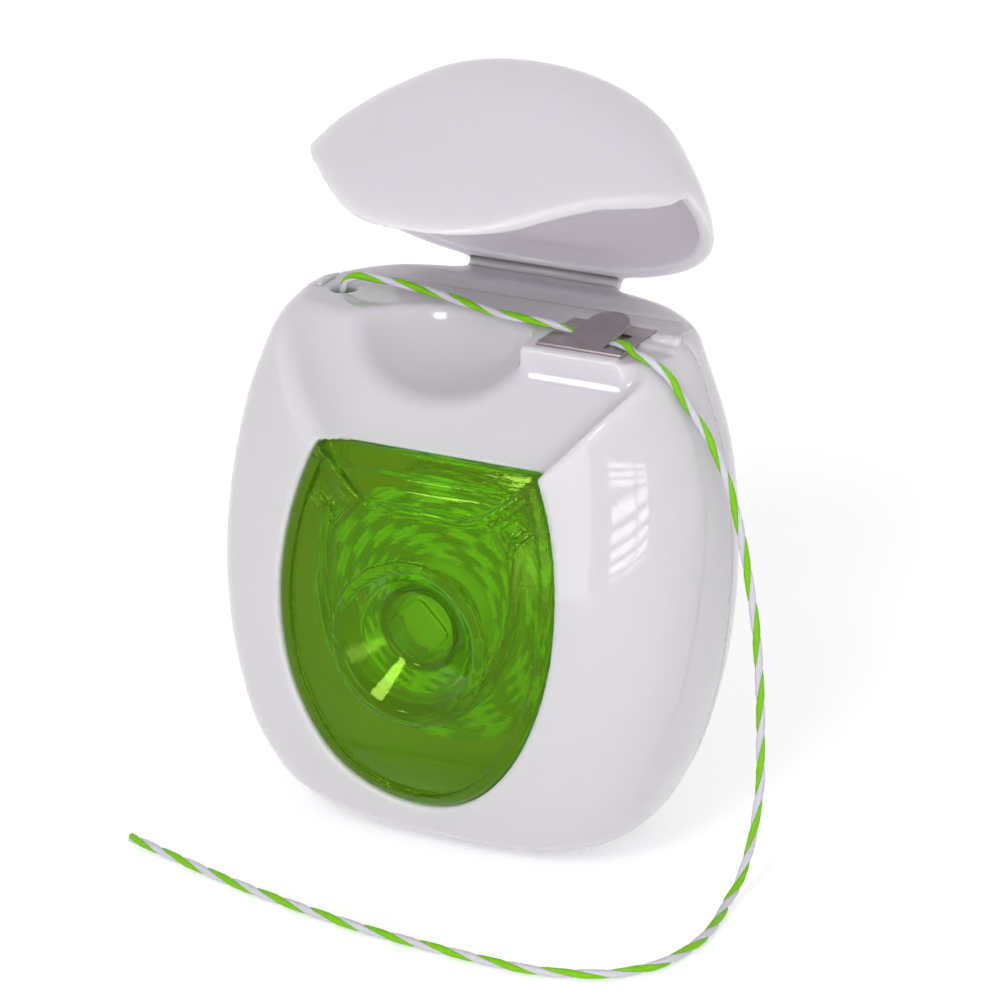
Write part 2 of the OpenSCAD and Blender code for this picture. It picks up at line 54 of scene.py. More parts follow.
# Outline of the closed pebble: heights as shares of the body up to 1 and of the lid above it, with the
# shares of width and depth squared
LEVELS = np.array([0, 0.057, 0.151, 0.302, 0.509, 0.792, 1, 1.5, 1.857, 2])
WIDTH_SQ = np.array([0.25, 0.5, 0.70, 0.882, 0.995, 0.925, 0.678, 0.428, 0.175, 0])
FRONT_SQ = np.array([0.22, 0.53, 0.83, 1, 0.957, 0.676, 0.475, 0.346, 0.154, 0])
BACK_SQ = np.array([0.15, 0.42, 0.69, 0.93, 1, 0.96, 0.811, 0.663, 0.296, 0])
HALF_W, FRONT_D, BACK_D, CROWN_Y = 26, 16.5, 15.5, 1.5
BODY_H, LID_H = 53, 14
CLOSED_H = BODY_H + LID_H
CORNER_MID, CORNER_TOP = 2.75, 2.05
DECK_Z, SEAM_Y, DECK_BACK_Y, DECK_HALF, DECK_UNDER = 52.6, 2.8, 7.6, 19.4, 44.5
HINGE_Y, HINGE_Z, LID_OPEN = 14.01, 53.3, 53
SPOOL_Z = 25
BOBBIN_FRONT_Y, BOBBIN_L, CORE_R = -8.6, 17, 5.0
WINDOW_TOP, WINDOW_TOP_HALF, WINDOW_MID, WINDOW_HALF, WINDOW_LOW = 42, 12, 28, 15, 6.4
WINDOW_INSET, WINDOW_GAP = 0.25, 0.12
FLANGE_FRONT, FLANGE_BACK, FLANGE_REACH, FLANGE_TOP = 1.4, 2.15, 1.4, 40
SEAT_Z = 36.9
# Each side of the window's stepped pads: x and z of a point on it, then of its outward direction
PAD_SIDES = ((7.6, 36.7, -2.8, 3.7), (11.3, 39.5, 2.6, 0.9), (12.2, 36.9, 2.5, -2.8), (9.4, 34.4, -2.3, -1.8))
PAD_STEPS, PAD_TREAD, PAD_DROP = 3, 0.65, 0.35
TUB_HALF, TUB_MID, TUB_DROP, TUB_TOP, TUB_WALL, TUB_BACK_Y = 10.3, 29, 12.5, 36, 1, -11.2
DISH_R, DISH_Y, HUB_R, HUB_BACK_Y, BORE_R, BORE_Y = 7.7, -13.3, 4.6, -8.8, 3.7, -12.4
WINDOW_UP = (WINDOW_TOP - WINDOW_MID) / math.sqrt(1 - (WINDOW_TOP_HALF / WINDOW_HALF) ** 2)
RECESS_LEAN, RECESS_STEP = 0.7, 1.9
SCOOP_MIDDLE, SCOOP_RADII = (-2.5, -8, 54.5), (11.2, 11.3, 8.1)
SPREAD, TONGUE_CLEAR, TONGUE_DROP = 0.88, 0.35, 5
LID_EDGE_Z, LID_GAP, LIP_HALF = 53.6, 0.29, 8.3
SEAM, SEAM_EDGE = 0.06, 0.08
BACK_RISE, BACK_RISE_END = 0.4, 13.6
HOLE_X, HOLE_Y, HOLE_R = -16.9, 3, 1.3
POST_R, POST_END_Y, POST_ROOT_R, POST_ROOT_Y = 3, -10.8, 4.6, 8.7
WINDING_LENGTH, WINDING_R = 15.4, 13.35
BOSS_HALF, BOSS_R, BOSS_FRONT_Y, BOSS_BACK_Y = 2.5, 3.2, -13.7, -13.0
EAR_LOW, EAR_HIGH = (17.4, 1.45, 51.6), (20.4, 2.75, DECK_Z + 0.75)
# The cutter plate's front left corner, width and depth, then the tongue's fold from that corner and its turn
CUTTER = {"x": 7.7, "y": -3.4, "z": 52.37, "w": 8.9, "d": 8.3}
TONGUE_FOLD, TONGUE_TURN = (1.9, 1.1), -10
CUTTER_SEAT_UNDER = 47.4

# The free floss from the deck hole to its bare end, and the run inside from the winding up to the hole
TAIL_POINTS = [
    (-16.9, 3, 51.7), (-16.9, 3, 52.7), (-16.4, 3.1, 53.6), (-14.5, 3.2, 54.1), (-10, 3.1, 53.9),
    (-6.1, 2.9, 53.6), (-2.3, 2, 53.4), (1.6, 0.9, 53.3), (5, 0.6, 53.3), (7.6, 0.3, 53.3),
    (9.3, 0.2, 53.1), (10.6, 0.1, 52.8), (12.6, -0.3, 52.7), (14.3, -0.9, 52.7), (15.4, -1.5, 53.1),
    (16.8, -2.2, 53.2), (17.9, -2.8, 52.8), (19.2, -3.3, 52.7), (20.4, -3.1, 52), (21.7, -2.9, 50.9),
    (22.5, -2.8, 49.7), (23.4, -2.3, 48.1), (25.1, -1.6, 45.2), (26.6, -0.9, 41.5), (28.1, -0.4, 36),
    (29.5, -0.3, 28.7), (30.1, -0.3, 24.7), (30.6, -0.3, 18.4), (30.8, -0.4, 12.2), (31, -0.9, 9.2),
    (31.3, -3.2, 4.9), (31.6, -6.7, 2), (31.7, -9.5, 1.1), (32.2, -13.1, 0.7), (32.6, -16.5, 0.7),
    (32.4, -20.3, 0.7), (31.5, -23.9, 0.7), (30.1, -26.3, 0.7), (27.2, -28.9, 0.7), (20.9, -31, 0.7),
    (11.4, -31, 0.7), (1.2, -30.1, 0.7), (-11.3, -27.6, 0.7), (-20.8, -24.8, 0.7), (-27.8, -22.5, 0.7),
]
LEAD_POINTS = [(-15.2, 0, 30), (-15.6, 0.6, 36), (-16.4, 2.2, 44), (-16.9, 3, 49), (-16.9, 3, 51.6)]


# Outline and soft edges


TABLE_AT = np.linspace(0, 2, 4001)


def smooth_table(shares):
    """The shares as a dense table over the levels, on a smooth curve through them."""
    step = np.diff(LEVELS)
    chord = np.diff(shares) / step
    slope = np.empty(len(shares))
    slope[1:-1] = (step[1:] * chord[:-1] + step[:-1] * chord[1:]) / (step[1:] + step[:-1])
    slope[0] = 1.5 * chord[0] - 0.5 * slope[1]
    slope[-1] = 1.5 * chord[-1] - 0.5 * slope[-2]
    k = np.clip(np.searchsorted(LEVELS, TABLE_AT, side="right") - 1, 0, len(step) - 1)
    h = step[k]
    t = (TABLE_AT - LEVELS[k]) / h
    start = slope * np.where(LEVELS == 1, LID_H / BODY_H, 1)
    return (
        (2 * t**3 - 3 * t**2 + 1) * shares[k]
        + (t**3 - 2 * t**2 + t) * h * start[k]
        + (3 * t**2 - 2 * t**3) * shares[k + 1]
        + (t**3 - t**2) * h * slope[k + 1]
    )


WIDTHS, FRONTS, BACKS = (smooth_table(v) for v in (WIDTH_SQ, FRONT_SQ, BACK_SQ))
LEAST_SHARE = 1e-4
ABOVE_CROWN = 0.08


def section(z):
    """The closed pebble at a height: its width's share squared, its front, its back and its corners' power."""
    level = np.where(z < BODY_H, z / BODY_H, 1 + (z - BODY_H) / LID_H)
    width, front, back = (
        np.maximum(np.interp(level, TABLE_AT, table), LEAST_SHARE) for table in (WIDTHS, FRONTS, BACKS)
    )
    front = CROWN_Y - (FRONT_D + CROWN_Y) * np.sqrt(front)
    back = CROWN_Y + (BACK_D - CROWN_Y) * np.sqrt(back)
    corners = CORNER_MID - (CORNER_MID - CORNER_TOP) * np.clip((z / BODY_H - 0.5) / 0.75, 0, 1)
    return width, front, back, corners


def bulge(x, y, z):
    """Zero on the closed pebble's skin and below zero inside it."""
    width, front, back, n = section(z)
    across = np.abs(x) / (HALF_W * np.sqrt(width))
    along = np.abs(y - (front + back) / 2) / ((back - front) / 2)
    return ((across**n + along**n) ** (2 / n) - 1) * width + ABOVE_CROWN * np.maximum(0, z - CLOSED_H)


def pebble(x, y, z):
    """Distance to the closed pebble's skin."""
    e = 0.03
    f = bulge(x, y, z)
    gx, gy, gz = ((g - f) / e for g in (bulge(x + e, y, z), bulge(x, y + e, z), bulge(x, y, z + e)))
    return np.clip(f / np.maximum(np.sqrt(gx**2 + gy**2 + gz**2), 1e-4), -40, 40)


def round_and(a, b, r):
    """What two shapes share, with the edge between them rounded by r."""
    u, v = np.maximum(a + r, 0), np.maximum(b + r, 0)
    return np.minimum(-r, np.maximum(a, b)) + np.sqrt(u * u + v * v)


def round_or(a, b, r):
    """Two shapes in one, with the corner between them filled by r."""
    return -round_and(-a, -b, r)


def block(x, y, z, low, high, r):
    """A box with its edges rounded by r. A corner of None is open."""
    d = np.full(np.shape(x + y + z), -1e3)
    for v, lo, hi in zip((x, y, z), low, high):
        if lo is not None:
            d = round_and(d, lo - v, r)
        if hi is not None:
            d = round_and(d, v - hi, r)
    return d


def skin_y(x, z):
    """Where the front skin lies, at a place seen from the front."""
    width, front, back, n = section(z)
    across = np.abs(x / (HALF_W * np.sqrt(width)))
    return (back + front) / 2 - (back - front) / 2 * np.maximum(0, 1 - across**n) ** (1 / n)


RECESS_Y = float(skin_y(WINDOW_TOP_HALF, WINDOW_TOP)) + RECESS_STEP


def slope_gap(y, z):
    """Distance behind the sloping recess floor."""
    return (y - RECESS_Y - (z - WINDOW_TOP) * RECESS_LEAN) / math.hypot(1, RECESS_LEAN)


def one_side(x, left, right):
    """A value that goes from left to right over the middle of the body."""
    return left + (right - left) / (1 + np.exp(-x / 2.5))


def recess_sides(x, y, z, soft):
    """The recess floor and sides, with a wide fillet on the left and a crisp crease on the right."""
    side = (np.abs(x) - WINDOW_TOP_HALF - (z - WINDOW_TOP) * SPREAD) / math.hypot(1, SPREAD)
    return round_and(slope_gap(y, z), side, one_side(x, soft.fillet_left / MM, soft.fillet_right / MM))


def recess(x, y, z, soft):
    """The hollow in front of the deck."""
    return round_and(recess_sides(x, y, z, soft), WINDOW_TOP - z, 0.2)


def ellipsoid(offset, radii):
    """About the distance outside an ellipsoid, or an ellipse, from an offset to its middle."""
    k0 = np.sqrt(sum((v / r) ** 2 for v, r in zip(offset, radii)))
    k1 = np.sqrt(sum((v / r**2) ** 2 for v, r in zip(offset, radii)))
    return k0 * (k0 - 1) / np.maximum(k1, 1e-4)


def scoop(x, y, z):
    """The finger scoop's hollow."""
    return ellipsoid([v - m for v, m in zip((x, y, z), SCOOP_MIDDLE)], SCOOP_RADII)


def body_outside(x, y, z, soft):
    """The outer form of both shells together."""
    front, back = soft.shoulder / MM, soft.back_shoulder / MM
    shoulder = front - (front - back) * np.clip((y + 2) / 7, 0, 1)
    rise = BACK_RISE * np.clip((y - DECK_BACK_Y) / 3, 0, 1) * np.clip((BACK_RISE_END - y) / 0.6, 0, 1)
    d = round_and(pebble(x, y, z), z - BODY_H - rise, shoulder)
    d = round_and(d, -z, 0.6)
    d = round_and(d, -recess(x, y, z, soft), one_side(x, soft.rim_left / MM, soft.rim_right / MM))
    return round_and(d, -scoop(x, y, z), soft.scoop_edge / MM)


def front_part(x, y, z, gap):
    """The share of the body that belongs to the front shell."""
    low, high = (-DECK_HALF + gap, None, DECK_UNDER + gap), (DECK_HALF - gap, DECK_BACK_Y - gap, None)
    return np.minimum(y - (SEAM_Y - gap), block(x, y, z, low, high, 0.1))


def window_outline(x, z):
    """Distance outside the window's outline, seen from the front."""
    high = np.where(z > WINDOW_MID, WINDOW_UP, WINDOW_MID - WINDOW_LOW)
    return round_and(ellipsoid((x, z - WINDOW_MID), (WINDOW_HALF, high)), z - WINDOW_TOP, 0.15)


# Meshes


def surface_net(field, low, high, pitch):
    """Corner points and four-sided faces on the zero level of a field that is negative inside."""
    low, high = np.array(low, float), np.array(high, float)
    counts = np.ceil((high - low) / pitch).astype(int) + 1
    size = 4
    blocks = -(-counts // size)
    mids = [low[i] + pitch * (size * np.arange(blocks[i]) + (size - 1) / 2) for i in range(3)]
    coarse = field(*np.meshgrid(*mids, indexing="ij"))
    value, near = coarse, np.abs(coarse) < size * pitch * 1.5
    for i in range(3):
        value, near = np.repeat(value, size, i), np.repeat(near, size, i)
    value = value[: counts[0], : counts[1], : counts[2]].copy()
    at = np.nonzero(near[: counts[0], : counts[1], : counts[2]])
    value[at] = field(*(low[i] + pitch * at[i] for i in range(3)))
    inside = value < 0
    cells = counts - 1
    total, hits, edges = np.zeros((*cells, 3)), np.zeros(cells, int), []
    for a in range(3):
        upper, lower = [slice(None)] * 3, [slice(None)] * 3
        upper[a], lower[a] = slice(1, None), slice(None, -1)
        cross = np.argwhere(inside[tuple(upper)] != inside[tuple(lower)])
        v0 = value[tuple(cross.T)]
        ahead = cross.copy()
        ahead[:, a] += 1
        t = v0 / (v0 - value[tuple(ahead.T)])
        points = cross.astype(float)
        points[:, a] += t
        b, c = (a + 1) % 3, (a + 2) % 3
        keep = (cross[:, b] > 0) & (cross[:, c] > 0) & (cross[:, b] < cells[b]) & (cross[:, c] < cells[c])
        cross, points, starts_in = cross[keep], points[keep], (v0 < 0)[keep]
        around = []
        for db, dc in ((-1, -1), (0, -1), (0, 0), (-1, 0)):
            cell = cross.copy()
            cell[:, b] += db
            cell[:, c] += dc
            np.add.at(total, tuple(cell.T), points)
            np.add.at(hits, tuple(cell.T), 1)
            around.append(cell)
        edges.append((np.stack(around, 1), starts_in))
    number = np.full(cells, -1)
    used = hits > 0
    number[used] = np.arange(used.sum())
    points = low + pitch * total[used] / hits[used][:, None]
    quads = []
    for around, starts_in in edges:
        q = number[tuple(around.reshape(-1, 3).T)].reshape(-1, 4)
        quads.append(np.where(starts_in[:, None], q, q[:, ::-1]))
    e = 0.02
    f = field(*points.T)
    for _ in range(3):
        g = np.stack([(field(*(points + d).T) - field(*(points - d).T)) / (2 * e) for d in np.eye(3) * e], 1)
        move = f[:, None] * g / np.maximum((g**2).sum(1), 0.05)[:, None]
        tried = points - np.clip(move, -pitch / 3, pitch / 3)
        left = field(*tried.T)
        better = np.abs(left) < np.abs(f)
        points, f = np.where(better[:, None], tried, points), np.where(better, left, f)
    return points, np.concatenate(quads)


def mesh_piece(name, points, faces, materials, soft=True):
    """A new piece from points in millimetres and faces of equal count."""
    mesh = bpy.data.meshes.new(name)
    mesh.vertices.add(len(points))
    mesh.vertices.foreach_set("co", (np.asarray(points) * MM).ravel())
    sides = faces.shape[1]
    mesh.loops.add(faces.size)
    mesh.loops.foreach_set("vertex_index", faces.ravel())
    mesh.polygons.add(len(faces))
    mesh.polygons.foreach_set("loop_start", np.arange(0, faces.size, sides))
    mesh.polygons.foreach_set("use_smooth", np.full(len(faces), soft))
    for m in materials:
        mesh.materials.append(m)
    mesh.update(calc_edges=True)
    mesh.validate()
    return shown(name, mesh)


def shown(name, data):
    """A new object for a mesh, in the scene."""
    piece = bpy.data.objects.new(name, data)
    bpy.context.scene.collection.objects.link(piece)
    return piece


def bmesh_data(name, work, material):
    """A mesh of one material from a bmesh, which it frees."""
    data = bpy.data.meshes.new(name)
    work.to_mesh(data)
    work.free()
    data.materials.append(material)
    return data


def finish_piece(piece, body, node):
    """Lets a piece ride on its body and stand for its node."""
    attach(piece, body)
    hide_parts(node)


def with_modifiers_applied(piece):
    """The piece with its modifiers made part of its mesh."""
    bpy.context.view_layer.update()
    worked = piece.evaluated_get(bpy.context.evaluated_depsgraph_get())
    mesh = bpy.data.meshes.new_from_object(worked)
    piece.modifiers.clear()
    piece.data = mesh
    return piece


def turned_about_hinge(points, degrees):
    """Points of the closed lid, turned open about the living hinge."""
    a = -math.radians(degrees)
    c, s = math.cos(a), math.sin(a)
    y, z = points[:, 1] - HINGE_Y, points[:, 2] - HINGE_Z
    return np.stack([points[:, 0], HINGE_Y + c * y - s * z, HINGE_Z + s * y + c * z], 1)


def smooth_path(points, gap):
    """Points about "gap" apart on a smooth curve through the chosen ones."""
    p = np.array(points, float)
    out = []
    for i in range(len(p) - 1):
        a, b, c, d = p[max(i - 1, 0)], p[i], p[i + 1], p[min(i + 2, len(p) - 1)]
        steps = max(1, round(float(np.linalg.norm(c - b)) / gap))
        for t in np.arange(steps) / steps:
            bend = (2 * a - 5 * b + 4 * c - d) * t**2 + (3 * b - a - 3 * c + d) * t**3
            out.append(0.5 * (2 * b + (c - a) * t + bend))
    out.append(p[-1])
    return np.array(out)


def carried_frames(path):
    """Two directions across the path at each point, carried along without twist."""
    ahead = np.gradient(path, axis=0)
    ahead /= np.linalg.norm(ahead, axis=1)[:, None]
    first = np.cross(ahead[0], (0, 1, 0))
    side = [first / np.linalg.norm(first)]
    for d in ahead[1:]:
        v = side[-1] - d * (side[-1] @ d)
        side.append(v / np.linalg.norm(v))
    side = np.array(side)
    return side, np.cross(ahead, side)


# Materials


def shader_group(name, inputs, outputs):
    """A new shader node group with its inputs and outputs, as (name, kind, default)."""
    group = bpy.data.node_groups.new(name, "ShaderNodeTree")
    for label, kind, default in inputs:
        socket = group.interface.new_socket(label, in_out="INPUT", socket_type=kind)
        socket.default_value = default
    for label, kind in outputs:
        group.interface.new_socket(label, in_out="OUTPUT", socket_type=kind)
    return group, group.nodes.new("NodeGroupInput"), group.nodes.new("NodeGroupOutput")


def put(tree, socket, value):
    """Links a socket into an input, or sets the input to a plain value."""
    if isinstance(value, bpy.types.NodeSocket):
        tree.links.new(value, socket)
    else:
        socket.default_value = value


def noise(tree, place, scale, detail=3.0):
    """A noise texture at a place, with its scale from a number or a socket."""
    node = tree.nodes.new("ShaderNodeTexNoise")
    for label, value in (("Vector", place), ("Scale", scale), ("Detail", detail)):
        put(tree, node.inputs[label], value)
    return node.outputs["Fac"]


def math_node(tree, kind, a, b=0.0):
    """One arithmetic step on sockets or numbers."""
    node = tree.nodes.new("ShaderNodeMath")
    node.operation = kind
    put(tree, node.inputs[0], a)
    put(tree, node.inputs[1], b)
    return node.outputs[0]


def colour_mix(tree, share, first, second):
    """A mix of two colours, which are sockets or plain values."""
    node = tree.nodes.new("ShaderNodeMix")
    node.data_type = "RGBA"
    tree.links.new(share, node.inputs[0])
    for socket, value in ((node.inputs[6], first), (node.inputs[7], second)):
        put(tree, socket, value if isinstance(value, bpy.types.NodeSocket) else (*value[:3], 1))
    return node.outputs[2]


def handled_surface():
    """Faint flow marks, handling haze and moulding texture, shared by the plastics and the steel."""
    group, start, end = shader_group(
        "handled surface",
        [
            ("Vector", "NodeSocketVector", (0, 0, 0)),
            ("Colour", "NodeSocketColor", (0.8, 0.8, 0.8, 1)),
            ("Marked Colour", "NodeSocketColor", (0.7, 0.7, 0.7, 1)),
            ("Flow Scale", "NodeSocketFloat", 60.0),
            ("Fine Scale", "NodeSocketFloat", 900.0),
            ("Gloss", "NodeSocketFloat", 0.2),
            ("Haze", "NodeSocketFloat", 0.1),
        ],
        [("Colour", "NodeSocketColor"), ("Roughness", "NodeSocketFloat"), ("Height", "NodeSocketFloat")],
    )
    given = start.outputs
    flow = noise(group, given["Vector"], given["Flow Scale"], 4.0)
    fine = noise(group, given["Vector"], given["Fine Scale"], 2.0)
    colour = colour_mix(group, flow, given["Colour"], given["Marked Colour"])
    rough = math_node(group, "ADD", given["Gloss"], math_node(group, "MULTIPLY", flow, given["Haze"]))
    height = math_node(group, "ADD", math_node(group, "MULTIPLY", fine, 0.25), flow)
    for label, value in (("Colour", colour), ("Roughness", rough), ("Height", height)):
        group.links.new(value, end.inputs[label])
    return group


def twisted_fibres():
    """Fine fibres that run along a strand, used by the floss's plies."""
    group, start, end = shader_group(
        "twisted fibres",
        [
            ("Along", "NodeSocketVector", (0, 0, 0)),
            ("Colour", "NodeSocketColor", (0.8, 0.8, 0.8, 1)),
            ("Shade", "NodeSocketColor", (0.5, 0.5, 0.5, 1)),
            ("Fibres", "NodeSocketFloat", 1.0),
        ],
        [("Colour", "NodeSocketColor"), ("Height", "NodeSocketFloat")],
    )
    fibre = noise(group, start.outputs["Along"], start.outputs["Fibres"], 3.0)
    colour = colour_mix(group, fibre, start.outputs["Shade"], start.outputs["Colour"])
    group.links.new(colour, end.inputs["Colour"])
    group.links.new(fibre, end.inputs["Height"])
    return group


def new_material(name):
    """A material with its Principled shader, and the tree that they stand in."""
    material = bpy.data.materials.new(name)
    material.use_nodes = True
    return material, material.node_tree, material.node_tree.nodes["Principled BSDF"]


def set_inputs(node, values):
    """Gives a node's inputs their values, by name."""
    for label, value in values.items():
        node.inputs[label].default_value = value


def object_place(tree):
    """Object coordinates."""
    return tree.nodes.new("ShaderNodeTexCoord").outputs["Object"]


def bumped(tree, shader, height, strength, distance):
    """A bump from a height, into the shader's normal."""
    bump = tree.nodes.new("ShaderNodeBump")
    set_inputs(bump, {"Strength": strength, "Distance": distance})
    tree.links.new(height, bump.inputs["Height"])
    tree.links.new(bump.outputs["Normal"], shader.inputs["Normal"])


def grouped(tree, group, values, place):
    """A group placed in a material with its own values."""
    node = tree.nodes.new("ShaderNodeGroup")
    node.node_tree = group
    set_inputs(node, values)
    tree.links.new(place, node.inputs[0])
    return node


def surface_material(name, colour, marked, flow, fine, gloss, haze, bump, metallic=0.0):
    """Moulded plastic or sheet metal, with the handled-surface group behind its colour and gloss."""
    material, tree, shader = new_material(name)
    values = {
        "Colour": (*colour, 1), "Marked Colour": (*marked, 1), "Flow Scale": flow, "Fine Scale": fine,
        "Gloss": gloss, "Haze": haze,
    }
    node = grouped(tree, GROUPS["handled"], values, object_place(tree))
    tree.links.new(node.outputs["Colour"], shader.inputs["Base Color"])
    tree.links.new(node.outputs["Roughness"], shader.inputs["Roughness"])
    shader.inputs["Metallic"].default_value = metallic
    bumped(tree, shader, node.outputs["Height"], bump, 0.00004)
    return material, shader


def white_plastic():
    """Glossy white moulded plastic with a faint cool tint."""
    colour = bpy.context.scene.dispenser_body.colour
    marked = [c * 0.975 for c in colour]
    material, shader = surface_material("white_plastic", colour, marked, 45.0, 1500.0, 0.02, 0.05, 0.06)
    scatter = {"Subsurface Weight": 0.8, "Subsurface Radius": (1.0, 0.95, 0.98), "Subsurface Scale": 4 * MM}
    set_inputs(shader, {"Specular IOR Level": 0.35, **scatter})
    return material


def bobbin_plastic():
    """Matt moulded plastic of the bobbin."""
    colour, marked = (0.74, 0.76, 0.72), (0.68, 0.7, 0.66)
    return surface_material("bobbin_plastic", colour, marked, 120.0, 2500.0, 0.4, 0.15, 0.3)[0]


def cutter_steel():
    """Thin stamped steel with a fine grain."""
    colour = bpy.context.scene.dispenser_cutter.colour
    marked = [c * 0.72 for c in colour]
    return surface_material("cutter_steel", colour, marked, 700.0, 5000.0, 0.34, 0.16, 0.5, 1.0)[0]


def stretched(tree, place, scale):
    """A Mapping node that stretches a place."""
    node = tree.nodes.new("ShaderNodeMapping")
    node.inputs["Scale"].default_value = scale
    tree.links.new(place, node.inputs["Vector"])
    return node


def green_clear(window):
    """Clear green plastic, deeper in colour where it is thick, that lamps shine through."""
    material, tree, shader = new_material("green_clear_plastic")
    set_inputs(shader, {
        "Base Color": (*window.colour, 1), "Metallic": 0.0, "Transmission Weight": 0.9, "IOR": 1.49,
        "Specular IOR Level": 0.4, "Specular Tint": (0.55, 0.9, 0.12, 1),
    })
    place = object_place(tree)
    haze = noise(tree, place, 220.0)
    tree.links.new(math_node(tree, "MULTIPLY", haze, 0.05), shader.inputs["Roughness"])
    stretch = stretched(tree, place, (260.0, 900.0, 2600.0))
    stretch.inputs["Rotation"].default_value = (0.0, math.radians(8), 0.0)
    bumped(tree, shader, noise(tree, stretch.outputs["Vector"], 1.0), 0.35, 0.00006)
    through = tree.nodes.new("ShaderNodeBsdfTransparent")
    through.inputs["Color"].default_value = (*[c**0.5 for c in window.colour], 1)
    path = tree.nodes.new("ShaderNodeLightPath")
    mix = tree.nodes.new("ShaderNodeMixShader")
    tree.links.new(path.outputs["Is Shadow Ray"], mix.inputs[0])
    tree.links.new(shader.outputs[0], mix.inputs[1])
    tree.links.new(through.outputs[0], mix.inputs[2])
    depth = tree.nodes.new("ShaderNodeVolumeAbsorption")
    set_inputs(depth, {"Color": (0.42, 0.77, 0.01, 1), "Density": 700})
    end = tree.nodes["Material Output"]
    tree.links.new(mix.outputs[0], end.inputs["Surface"])
    tree.links.new(depth.outputs[0], end.inputs["Volume"])
    return material


def ply_material(name, colour, shade):
    """One waxed ply of the floss, with fibres along it."""
    material, tree, shader = new_material(name)
    uv = tree.nodes.new("ShaderNodeUVMap")
    uv.uv_map = "along"
    stretch = stretched(tree, uv.outputs["UV"], (14.0, 0.9, 1.0))
    values = {"Colour": (*colour, 1), "Shade": (*shade, 1), "Fibres": 1.0}
    node = grouped(tree, GROUPS["fibres"], values, stretch.outputs["Vector"])
    tree.links.new(node.outputs["Colour"], shader.inputs["Base Color"])
    set_inputs(shader, {"Roughness": 0.42, "Specular IOR Level": 0.2})
    bumped(tree, shader, node.outputs["Height"], 0.5, 0.00008)
    return material


def wound_material(floss):
    """Floss wound on the bobbin: its two colours come by turns along the strand, as the plies do, with the
    green darker than the ply as painted shade between strands and the white lighter than the ply as a painted
    highlight.
    """
    material, tree, shader = new_material("wound_floss")
    run = tree.nodes.new("ShaderNodeAttribute")
    run.attribute_name = "run"
    turn = math_node(tree, "MULTIPLY", run.outputs["Fac"], 2 * math.pi / floss.twist)
    wave = math_node(tree, "SINE", turn)
    share = math_node(tree, "ADD", math_node(tree, "MULTIPLY", wave, 1.2), 0.4)
    share.node.use_clamp = True
    # Painted shade and highlight: the deep green is darker and the pale white lighter than the plies' own
    # colours
    colour = colour_mix(tree, share, floss.wound_shaded_green, floss.wound_lit_white)
    fibre = noise(tree, object_place(tree), 1800.0)
    dark = colour_mix(tree, math_node(tree, "MULTIPLY", fibre, 0.35), colour, floss.green_shade)
    tree.links.new(dark, shader.inputs["Base Color"])
    set_inputs(shader, {"Roughness": 0.45, "Specular IOR Level": 0.2})
    bumped(tree, shader, fibre, 0.5, 0.0001)
    return material


GROUPS = {}
FINISHES = {}


def finish_named(name):
    """A finish that several pieces share, made the first time it is asked for."""
    if name not in FINISHES:
        FINISHES[name] = {"white": white_plastic, "bobbin": bobbin_plastic, "steel": cutter_steel}[name]()
    return FINISHES[name]


# Sizes and colours


def length_prop(name, description, millimetres):
    """A length that a user would change."""
    return bpy.props.FloatProperty(name=name, description=description, default=millimetres * MM, unit="LENGTH")


def colour_prop(name, description, default):
    """A colour that a user would change."""
    return bpy.props.FloatVectorProperty(name=name, description=description, default=default, subtype="COLOR")


def light_prop(name, description, default, unit="NONE"):
    """A strength of light that a user would change."""
    return bpy.props.FloatProperty(name=name, description=description, default=default, unit=unit)


class DispenserBody(bpy.types.PropertyGroup):
    """Sizes and colour of the white shells."""

    pitch: length_prop("Mesh Pitch", "Size of the shells' mesh faces", 0.36)
    wall: length_prop("Wall", "Wall thickness of the shells and the lid", 1.5)
    shoulder: length_prop("Shoulder", "Rounding where the sides turn into the deck", 3.8)
    back_shoulder: length_prop("Back Shoulder", "Rounding where the back turns into the rear rim", 1.3)
    fillet_left: length_prop("Left Fillet", "Fillet at the recess floor's left edge", 3.0)
    fillet_right: length_prop("Right Fillet", "Fillet at the recess floor's right edge", 0.7)
    rim_left: length_prop("Left Rim", "Rounding over the recess's left edge", 1.6)
    rim_right: length_prop("Right Rim", "Rounding over the recess's right edge", 0.6)
    scoop_edge: length_prop("Scoop Edge", "Rounding over the finger scoop's rim", 1.1)
    colour: colour_prop("Colour", "Colour of the shells and the lid", (0.64, 0.61, 0.655))


class DispenserWindow(bpy.types.PropertyGroup):
    """Sizes and colour of the green window."""

    rim: length_prop("Rim", "Width of the raised rim", 1.45)
    step: length_prop("Step", "Step from the rim down to the pane", 0.5)
    wall: length_prop("Wall", "Thickness of the pane", 1.2)
    colour: colour_prop("Colour", "Tint of the clear plastic", (0.44, 0.73, 0.03))


class DispenserFloss(bpy.types.PropertyGroup):
    """Sizes and colours of the floss."""

    thickness: length_prop("Thickness", "Diameter of the free floss", 0.9)
    twist: length_prop("Twist", "Length of one full turn of the two plies", 6.6)
    wound: length_prop("Wound Strand", "Diameter of the floss as it lies on the winding", 0.5)
    green: colour_prop("Green Ply", "Colour of the green ply", (0.24, 0.6, 0.004))
    green_shade: colour_prop("Green Shade", "Colour between the green fibres", (0.13, 0.42, 0.003))
    white: colour_prop("White Ply", "Colour of the white ply", (0.67, 0.66, 0.71))
    white_shade: colour_prop("White Shade", "Colour between the white fibres", (0.5, 0.5, 0.57))
    # The wound colours are the plies' colours pushed apart: painted shade between strands and painted highlight
    # on them
    wound_shaded_green: colour_prop("Wound Shaded Green", "Deepest green of the wound floss", (0.07, 0.26, 0.002))
    wound_lit_white: colour_prop("Wound Lit White", "Palest colour of the wound floss", (0.9, 0.93, 0.8))


